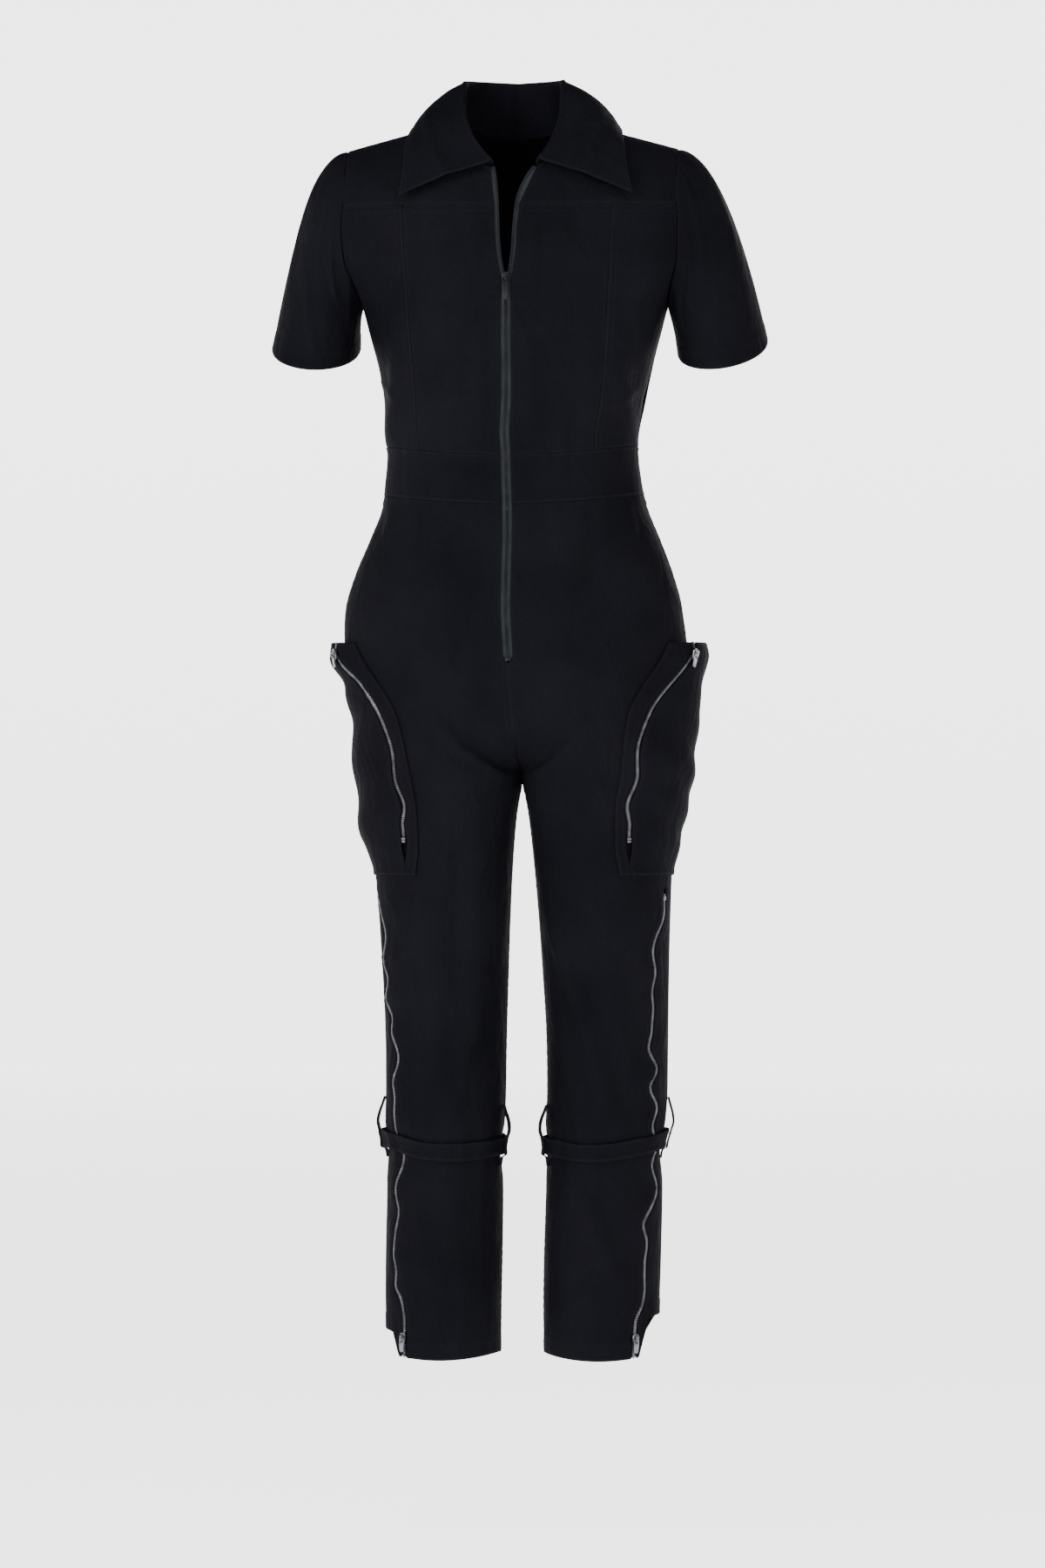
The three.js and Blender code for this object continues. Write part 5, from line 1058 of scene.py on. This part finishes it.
def repeat_group():
    """Node group that sets a tool along lines: x runs along the line and z faces out of the cloth."""
    tree = bpy.data.node_groups.new("repeat_along_lines", "GeometryNodeTree")
    face = tree.interface
    face.new_socket("Lines", in_out="INPUT", socket_type="NodeSocketGeometry")
    face.new_socket("Tool", in_out="INPUT", socket_type="NodeSocketObject")
    face.new_socket("Spacing", in_out="INPUT", socket_type="NodeSocketFloat")
    face.new_socket("Turned", in_out="INPUT", socket_type="NodeSocketFloat")
    face.new_socket("Jitter", in_out="INPUT", socket_type="NodeSocketFloat")
    face.new_socket("Material", in_out="INPUT", socket_type="NodeSocketMaterial")
    face.new_socket("Repeats", in_out="OUTPUT", socket_type="NodeSocketGeometry")
    given = add_node(tree, "NodeGroupInput").outputs
    curve = add_node(tree, "GeometryNodeMeshToCurve", links={0: given["Lines"]})
    even = add_node(tree, "GeometryNodeResampleCurve", {"mode": "LENGTH"},
                    {"Curve": curve.outputs[0], "Length": given["Spacing"]})
    tool = add_node(tree, "GeometryNodeObjectInfo", links={"Object": given["Tool"]})
    out = add_node(tree, "GeometryNodeInputNamedAttribute", {"data_type": "FLOAT_VECTOR"}, {"Name": "out"})
    tangent = add_node(tree, "GeometryNodeInputTangent")
    along = add_node(tree, "FunctionNodeAlignRotationToVector", {"axis": "X"},
                     {"Vector": tangent.outputs[0]})
    facing = add_node(tree, "FunctionNodeAlignRotationToVector", {"axis": "Z", "pivot_axis": "X"},
                      {"Rotation": along.outputs[0], "Vector": out.outputs[0]})
    copies = add_node(tree, "GeometryNodeInstanceOnPoints", links={
        "Points": even.outputs[0], "Instance": tool.outputs["Geometry"], "Rotation": facing.outputs[0]})
    index = add_node(tree, "GeometryNodeInputIndex")
    odd = add_node(tree, "ShaderNodeMath", {"operation": "MODULO"}, {0: index.outputs[0], 1: 2.0})
    half_turn = add_node(tree, "ShaderNodeMath", {"operation": "MULTIPLY"},
                         {0: odd.outputs[0], 1: given["Turned"]})
    shake = add_node(tree, "FunctionNodeRandomValue", {"data_type": "FLOAT"}, {
        2: -1.0, 3: 1.0, "ID": index.outputs[0], "Seed": 7})
    small = add_node(tree, "ShaderNodeMath", {"operation": "MULTIPLY_ADD"},
                     {0: shake.outputs[1], 1: given["Jitter"], 2: half_turn.outputs[0]})
    angles = add_node(tree, "ShaderNodeCombineXYZ", links={"Z": small.outputs[0]})
    turned = add_node(tree, "GeometryNodeRotateInstances",
                      links={"Instances": copies.outputs[0], "Rotation": angles.outputs[0]})
    real = add_node(tree, "GeometryNodeRealizeInstances", links={0: turned.outputs[0]})
    painted = add_node(tree, "GeometryNodeSetMaterial",
                       links={"Geometry": real.outputs[0], "Material": given["Material"]})
    add_node(tree, "NodeGroupOutput", links={0: painted.outputs[0]})
    return tree


def loft(name, sections):
    """A small closed form from rings of points, with both ends capped."""
    verts = [point for ring in sections for point in ring]
    size = len(sections[0])
    faces = [list(range(size))[::-1], list(range(len(verts) - size, len(verts)))]
    for i in range(len(sections) - 1):
        for j in range(size):
            k = (j + 1) % size
            faces.append([i * size + j, i * size + k, (i + 1) * size + k, (i + 1) * size + j])
    tool = add_mesh(name, verts, faces)
    tool.hide_render = True
    return tool


def stitch_tool():
    """One stitch of sewing thread, sunk at both ends."""
    rings = []
    for x, r, z in ((-1.25, 0.10, -0.25), (-0.7, 0.24, 0.10), (0.7, 0.24, 0.10), (1.25, 0.10, -0.25)):
        turns = np.linspace(0, 2 * np.pi, 6, endpoint=False)
        rings.append([(x, r * math.cos(a), z + 0.8 * r * math.sin(a)) for a in turns])
    return loft("stitch_tool", rings)


def tooth_tool():
    """One metal zip tooth: legs clamped on the tape's cord, a waist, and a head past the middle."""
    rings = []
    for y, half, low, high in ((-2.1, 0.40, -0.1, 1.0), (-1.0, 0.46, -0.1, 1.5), (-0.25, 0.32, 0.1, 1.4),
                               (0.4, 0.46, 0.15, 1.45), (0.7, 0.30, 0.3, 1.2)):
        bevel = 0.14
        rings.append([
            (-half + bevel, y, low), (half - bevel, y, low),
            (half, y, low + bevel), (half, y, high - bevel),
            (half - bevel, y, high), (-half + bevel, y, high),
            (-half, y, high - bevel), (-half, y, low + bevel),
        ])
    return loft("tooth_tool", rings)


def repeat(name, lines, outs, tool, spacing, material, turned=0.0, jitter=0.0):
    """Sets the tool along lines and returns the result as one plain mesh object."""
    verts, edges = [], []
    for line in lines:
        first = len(verts)
        verts.extend(line)
        edges.extend((first + i, first + i + 1) for i in range(len(line) - 1))
    mesh = bpy.data.meshes.new(name + "_lines")
    mesh.from_pydata((np.asarray(verts) * MM).tolist(), edges, [])
    normals = np.concatenate(outs).astype(np.float32)
    mesh.attributes.new("out", "FLOAT_VECTOR", "POINT").data.foreach_set("vector", normals.ravel())
    carrier = bpy.data.objects.new(name, mesh)
    bpy.context.scene.collection.objects.link(carrier)
    modifier = carrier.modifiers.new("repeat", "NODES")
    modifier.node_group = REPEAT
    values = {
        "Tool": tool, "Spacing": spacing * MM, "Turned": turned, "Jitter": jitter, "Material": material,
    }
    for item in REPEAT.interface.items_tree:
        if item.in_out == "INPUT" and item.name in values:
            modifier[item.identifier] = values[item.name]
    bpy.context.view_layer.update()
    graph = bpy.context.evaluated_depsgraph_get()
    made = bpy.data.meshes.new_from_object(carrier.evaluated_get(graph), depsgraph=graph)
    carrier.modifiers.remove(modifier)
    carrier.data = made
    made.polygons.foreach_set("use_smooth", np.zeros(len(made.polygons), bool))
    for extra in [a.name for a in made.attributes if a.name in ("out", "worn")]:
        made.attributes.remove(made.attributes[extra])
    return carrier


TOOTH_STEP, CHAIN_LIFT = 1.15, 0.35
STITCH_STEP = 3.3
MIDDLE_REACH = 20


def add_chain(node, p, n, metal, opened=0):
    """Zip teeth along a line: the two rows meshed, or one row alone where the zip is open."""
    along = unit(np.gradient(p, axis=0))
    out = unit(n - along * np.sum(n * along, axis=-1, keepdims=True))
    line = p if opened <= 0 else p[::-1]
    out = out if opened <= 0 else out[::-1]
    step, turned = (2 * TOOTH_STEP, 0.0) if opened else (TOOTH_STEP, math.pi)
    piece = repeat(node + "_metal", [line], [out], TOOTH, step, materials[metal], turned, 0.03)
    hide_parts(node)
    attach(piece, "garment")


def add_stop(name, place, next_place, out, size, metal):
    """A stop stamped from sheet metal and clamped over a zip's end, with a groove across its middle."""
    wide, long, high = size
    along = unit(next_place - place)
    across = unit(np.cross(out, along))
    rings = []
    for share, narrow, tall in ((-0.5, 0.7, 0.6), (-0.36, 1, 1), (-0.1, 1, 1), (0, 0.9, 0.8), (0.1, 1, 1),
                                (0.36, 1, 1), (0.5, 0.7, 0.6)):
        half, top = wide / 2 * narrow, high * tall
        bevel = 0.26 * high
        outline = ((-half, -0.6), (half, -0.6), (half, top - bevel), (half - bevel, top),
                   (bevel - half, top), (-half, top - bevel))
        rings.append([place + along * long * share + across * x + out * h for x, h in outline])
    piece = loft(name, rings)
    piece.hide_render = False
    piece.data.materials.append(materials[metal])
    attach(piece, "garment")


def add_stitching():
    """Sewing thread in three pieces: seams that run near the middle, and those of each side."""
    groups = {"left": [], "middle": [], "right": []}
    for line, out in STITCH_LINES:
        away = line[:, 0].mean()
        place = "middle" if abs(away) < MIDDLE_REACH else SIDES[int(np.sign(away))]
        groups[place].append((line, out))
    for place, group in groups.items():
        lines, outs = zip(*group)
        piece = repeat("topstitching_" + place, lines, outs, STITCH, STITCH_STEP,
                       materials["thread"], 0.0, 0.05)
        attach(piece, "garment")


# Sliders and pull tabs keep their solids' form, with their edges rounded
def add_fitting(node, body, metal, round_edge):
    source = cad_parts[node].data
    form = bmesh.new()
    form.from_mesh(source)
    bmesh.ops.remove_doubles(form, verts=form.verts, dist=2e-5)
    bmesh.ops.dissolve_limit(form, angle_limit=math.radians(4), verts=form.verts, edges=form.edges)
    mesh = bpy.data.meshes.new(node + "_fine")
    form.to_mesh(mesh)
    form.free()
    piece = bpy.data.objects.new(node + "_fine", mesh)
    bpy.context.scene.collection.objects.link(piece)
    bevel = piece.modifiers.new("edges", "BEVEL")
    bevel.width, bevel.segments, bevel.limit_method = round_edge * MM, 2, "ANGLE"
    bevel.angle_limit = math.radians(25)
    graph = bpy.context.evaluated_depsgraph_get()
    fine = bpy.data.meshes.new_from_object(piece.evaluated_get(graph), depsgraph=graph)
    piece.modifiers.remove(bevel)
    piece.data = fine
    fine.polygons.foreach_set("use_smooth", np.ones(len(fine.polygons), bool))
    fine.set_sharp_from_angle(angle=math.radians(40))
    fine.materials.clear()
    fine.materials.append(materials[metal])
    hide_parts(node)
    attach(piece, body)


def add_fittings():
    zips = [("front_zip", "gunmetal")]
    zips += [(f"{kind}_zip_{side}", "silver") for kind in ("pocket", "leg") for side in SIDES.values()]
    for name, metal in zips:
        add_fitting(name + "_slider", "garment", metal, 0.28)
        add_fitting(name + "_pull_tab", name + "_tab", metal, 0.22)


# Materials
def srgb(text):
    """Linear colour of an sRGB hex text."""
    parts = [int(text[i:i + 2], 16) / 255 for i in (1, 3, 5)]
    return (*[c / 12.92 if c <= 0.04045 else ((c + 0.055) / 1.055) ** 2.4 for c in parts], 1.0)


def new_material(name, settings):
    made = bpy.data.materials.new(name)
    made.use_nodes = True
    shader = made.node_tree.nodes["Principled BSDF"]
    for key, value in settings.items():
        shader.inputs[key].default_value = value
    return made, made.node_tree, shader


def tint(tree, shader, place, scale, dark, light, low=0.3, high=0.7):
    """Base colour between two tones, by a soft noise of the given size in metres."""
    noise = add_node(tree, "ShaderNodeTexNoise", links={"Vector": place, "Scale": 1 / scale, "Detail": 4.0})
    ramp = add_node(tree, "ShaderNodeMapRange", links={
        "Value": noise.outputs[0], "From Min": low, "From Max": high, "To Min": 0.0, "To Max": 1.0})
    mix = add_node(tree, "ShaderNodeMix", {"data_type": "RGBA"},
                   {0: ramp.outputs[0], 6: srgb(dark), 7: srgb(light)})
    tree.links.new(mix.outputs[2], shader.inputs["Base Color"])
    return mix


def bump_chain(tree, shader, heights):
    """Stacks bumps, each a height output with its strength and depth in metres."""
    normal = None
    for height, strength, deep in heights:
        links = {"Height": height, "Strength": strength, "Distance": deep}
        if normal:
            links["Normal"] = normal
        normal = add_node(tree, "ShaderNodeBump", links=links).outputs[0]
    tree.links.new(normal, shader.inputs["Normal"])


def black_cloth():
    """Black cotton drill, piece-dyed and washed: steep twill, soft rumples, and seams and folded edges
    lightened by lint and as painted highlight.
    """
    made, tree, shader = new_material("black_cotton_drill_washed", {
        "Roughness": 0.62, "IOR": 1.05, "Sheen Weight": 0.004, "Sheen Roughness": 0.4,
        "Sheen Tint": srgb("#a4a6b4"),
    })
    place = add_node(tree, "ShaderNodeTexCoord").outputs["Object"]
    woven = add_node(tree, "ShaderNodeUVMap", {"uv_map": "Cloth"}).outputs[0]
    mix = tint(tree, shader, place, 0.11, "#0a0a0e", "#0f0f13")
    # lint and rubbing lighten the folded edges and seams, and this lightening is also painted highlight along
    # those edges
    worn = add_node(tree, "ShaderNodeAttribute", {"attribute_name": "worn"}).outputs["Fac"]
    fleck = add_node(tree, "ShaderNodeTexNoise", links={"Vector": place, "Scale": 260.0, "Detail": 3.0})
    rubbed_and_lit = add_node(tree, "ShaderNodeMath", {"operation": "MULTIPLY"}, {0: worn, 1: fleck.outputs[0]})
    edge = add_node(tree, "ShaderNodeMix", {"data_type": "RGBA"},
                    {0: rubbed_and_lit.outputs[0], 6: mix.outputs[2], 7: srgb("#131317")})
    tree.links.new(edge.outputs[2], shader.inputs["Base Color"])
    # twill lines 1.1 mm apart, steep to the cut, broken by the yarn's slubs
    spin = add_node(tree, "ShaderNodeMapping", links={"Vector": woven, "Rotation": (0, 0, math.radians(63))})
    twill = add_node(tree, "ShaderNodeTexWave", {"wave_type": "BANDS"}, {
        "Vector": spin.outputs[0], "Scale": 1 / 0.0011 / 3.2, "Distortion": 1.2, "Detail": 1.0})
    slub = add_node(tree, "ShaderNodeTexNoise", links={"Vector": woven, "Scale": 900.0, "Detail": 2.0})
    # soft crumples that run down the cloth, then small creases left by wear
    drawn = add_node(tree, "ShaderNodeMapping", links={"Vector": place, "Scale": (1.0, 1.0, 0.4)})
    rumple = add_node(tree, "ShaderNodeTexNoise", links={
        "Vector": drawn.outputs[0], "Scale": 34.0, "Detail": 3.0, "Roughness": 0.5, "Distortion": 0.8})
    crease = add_node(tree, "ShaderNodeTexNoise", links={
        "Vector": place, "Scale": 95.0, "Detail": 2.0, "Roughness": 0.5, "Distortion": 0.4})
    bump_chain(tree, shader, [
        (rumple.outputs[0], 0.8, 0.0058), (crease.outputs[0], 0.5, 0.0013), (slub.outputs[0], 0.25, 0.0002),
        (twill.outputs[1], 0.30, 0.00018),
    ])
    dull = add_node(tree, "ShaderNodeMapRange", links={
        "Value": fleck.outputs[0], "From Min": 0.2, "From Max": 0.8, "To Min": 0.55, "To Max": 0.70})
    tree.links.new(dull.outputs[0], shader.inputs["Roughness"])
    return made


def zip_tape(name, dark, light):
    """Polyester zip tape, knitted: fine ribs across it give a dull, even tone."""
    made, tree, shader = new_material(name, {
        "Roughness": 0.8, "IOR": 1.1, "Sheen Weight": 0.004, "Sheen Roughness": 0.5})
    place = add_node(tree, "ShaderNodeTexCoord").outputs["Object"]
    woven = add_node(tree, "ShaderNodeUVMap", {"uv_map": "Cloth"}).outputs[0]
    tint(tree, shader, place, 0.02, dark, light)
    ribs = add_node(tree, "ShaderNodeTexWave", {"wave_type": "BANDS", "bands_direction": "Y"},
                    {"Vector": woven, "Scale": 1 / 0.0012 / 3.2, "Distortion": 0.4})
    bump_chain(tree, shader, [(ribs.outputs[1], 0.5, 0.00025)])
    return made


def thread():
    """Black spun polyester sewing thread, a little shinier than the cloth it holds."""
    made, tree, shader = new_material("black_spun_sewing_thread", {
        "Roughness": 0.5, "IOR": 1.15, "Sheen Weight": 0.006, "Sheen Roughness": 0.4})
    place = add_node(tree, "ShaderNodeTexCoord").outputs["Object"]
    tint(tree, shader, place, 0.004, "#0c0c10", "#121217")
    return made


def metal(name, dark, light, rough, note_scale):
    """Stamped metal: tone and gloss drift where it has been rubbed, and fine scratches break the shine."""
    made, tree, shader = new_material(name, {"Metallic": 1.0})
    place = add_node(tree, "ShaderNodeTexCoord").outputs["Object"]
    tint(tree, shader, place, note_scale, dark, light)
    scratch = add_node(tree, "ShaderNodeTexNoise", links={"Vector": place, "Scale": 1500.0, "Detail": 2.0})
    gloss = add_node(tree, "ShaderNodeMapRange", links={
        "Value": scratch.outputs[0], "From Min": 0.3, "From Max": 0.7,
        "To Min": rough - 0.08, "To Max": rough + 0.1})
    tree.links.new(gloss.outputs[0], shader.inputs["Roughness"])
    bump_chain(tree, shader, [(scratch.outputs[0], 0.15, 0.00005)])
    return made


def plain_backdrop():
    """Seamless studio paper, lit from behind as well, so that it stays even from the floor up."""
    made, tree, shader = new_material("matt_studio_paper", {
        "Roughness": 0.95, "Specular IOR Level": 0.1,
        "Emission Color": srgb("#ffffff"), "Emission Strength": 2.7})
    place = add_node(tree, "ShaderNodeTexCoord").outputs["Object"]
    tint(tree, shader, place, 0.8, "#cacaca", "#cccccc")
    return made


# Studio: pale paper that curves up behind, large soft lights, and the camera at the photograph's angle
FLOOR_Z = -1.62
VIEW_TURN = math.radians(5.5)
VIEW_MIDDLE = (0.010, -0.760)
CAMERA_FAR, LENS = 10.0, 200.0


def add_backdrop():
    """A round sweep of paper that bends up into a low wall all round, so each view has the same ground."""
    flat, bend, top = 16.0, 2.2, 5.2
    bends = np.linspace(0, np.pi / 2, 12)
    line = [(r, 0.0) for r in (0.6, 4.0, 10.0)]
    line += [(flat + bend * math.sin(a), bend * (1 - math.cos(a))) for a in bends]
    line.append((flat + bend, top))
    count, around = len(line), 64
    turns = np.linspace(0, 2 * np.pi, around, endpoint=False)
    verts = [
        (r / MM * math.cos(a), r / MM * math.sin(a), (h + FLOOR_Z) / MM) for a in turns for r, h in line
    ]
    faces = [list(range(0, around * count, count))]
    for i in range(around):
        k = (i + 1) % around
        for j in range(count - 1):
            faces.append([k * count + j, k * count + j + 1, i * count + j + 1, i * count + j])
    sheet = add_mesh("studio_paper", verts, faces)
    sheet.data.materials.append(plain_backdrop())


def add_light(name, place, aim, size, power):
    lamp = bpy.data.lights.new(name, "AREA")
    lamp.shape, lamp.size, lamp.size_y, lamp.energy = "RECTANGLE", size[0], size[1], power
    lamp.spread = math.radians(75)
    thing = bpy.data.objects.new(name, lamp)
    thing.location = place
    thing.rotation_euler = (Vector(aim) - Vector(place)).to_track_quat("-Z", "Y").to_euler()
    bpy.context.scene.collection.objects.link(thing)


def add_lights():
    middle = (0.0, 0.0, -0.75)
    add_light("key_softbox", (-2.5, -2.6, 1.2), middle, (1.0, 2.2), 22)
    add_light("fill_softbox", (2.6, -2.8, -0.7), middle, (1.2, 2.4), 4)
    add_light("top_softbox", (0.0, -1.6, 2.2), middle, (2.0, 1.4), 9)
    add_light("back_softbox", (1.2, 3.4, 0.8), middle, (1.2, 2.2), 7)
    world = bpy.data.worlds.new("studio_air")
    world.use_nodes = True
    world.node_tree.nodes["Background"].inputs["Color"].default_value = (1, 1, 1, 1)
    world.node_tree.nodes["Background"].inputs["Strength"].default_value = 0.3
    bpy.context.scene.world = world


def add_camera():
    lens = bpy.data.cameras.new("photo_view")
    lens.lens, lens.sensor_width = LENS, 36.0
    camera = bpy.data.objects.new("photo_view", lens)
    across, high = VIEW_MIDDLE
    aim = Vector((across * math.cos(VIEW_TURN), across * math.sin(VIEW_TURN), high))
    camera.location = aim + Vector((math.sin(VIEW_TURN), -math.cos(VIEW_TURN), 0)) * CAMERA_FAR
    camera.rotation_euler = (aim - camera.location).to_track_quat("-Z", "Y").to_euler()
    bpy.context.scene.collection.objects.link(camera)
    bpy.context.scene.camera = camera


materials = {
    "cloth": black_cloth(),
    "tape": zip_tape("black_polyester_zip_tape", "#070709", "#0d0d10"),
    # the front zip's tape is lightened to grey as painted highlight, standing in for light on the cloth's
    # folded edges beside the teeth
    "front_tape_painted_highlight": zip_tape("zip_tape_lightened_as_painted_highlight", "#1d2021", "#262a2b"),
    "thread": thread(),
    "silver": metal("nickel_plated_brass_stamped", "#424247", "#727278", 0.26, 0.010),
    "gunmetal": metal("gunmetal_plated_zinc_cast", "#1b1b1f", "#2c2c31", 0.34, 0.012),
}
REPEAT = repeat_group()
STITCH, TOOTH = stitch_tool(), tooth_tool()

add_camera()
add_backdrop()
add_lights()
for side in SIDES:
    add_bodice(side)
    add_sleeve(side)
    add_trousers(side)
    add_pocket(side)
    add_leg_zip(side)
    add_straps(side)
add_back()
add_collar()
add_waistband()
add_front_zip()
add_stitching()
add_fittings()
for tool in (STITCH, TOOTH):
    bpy.data.objects.remove(tool)
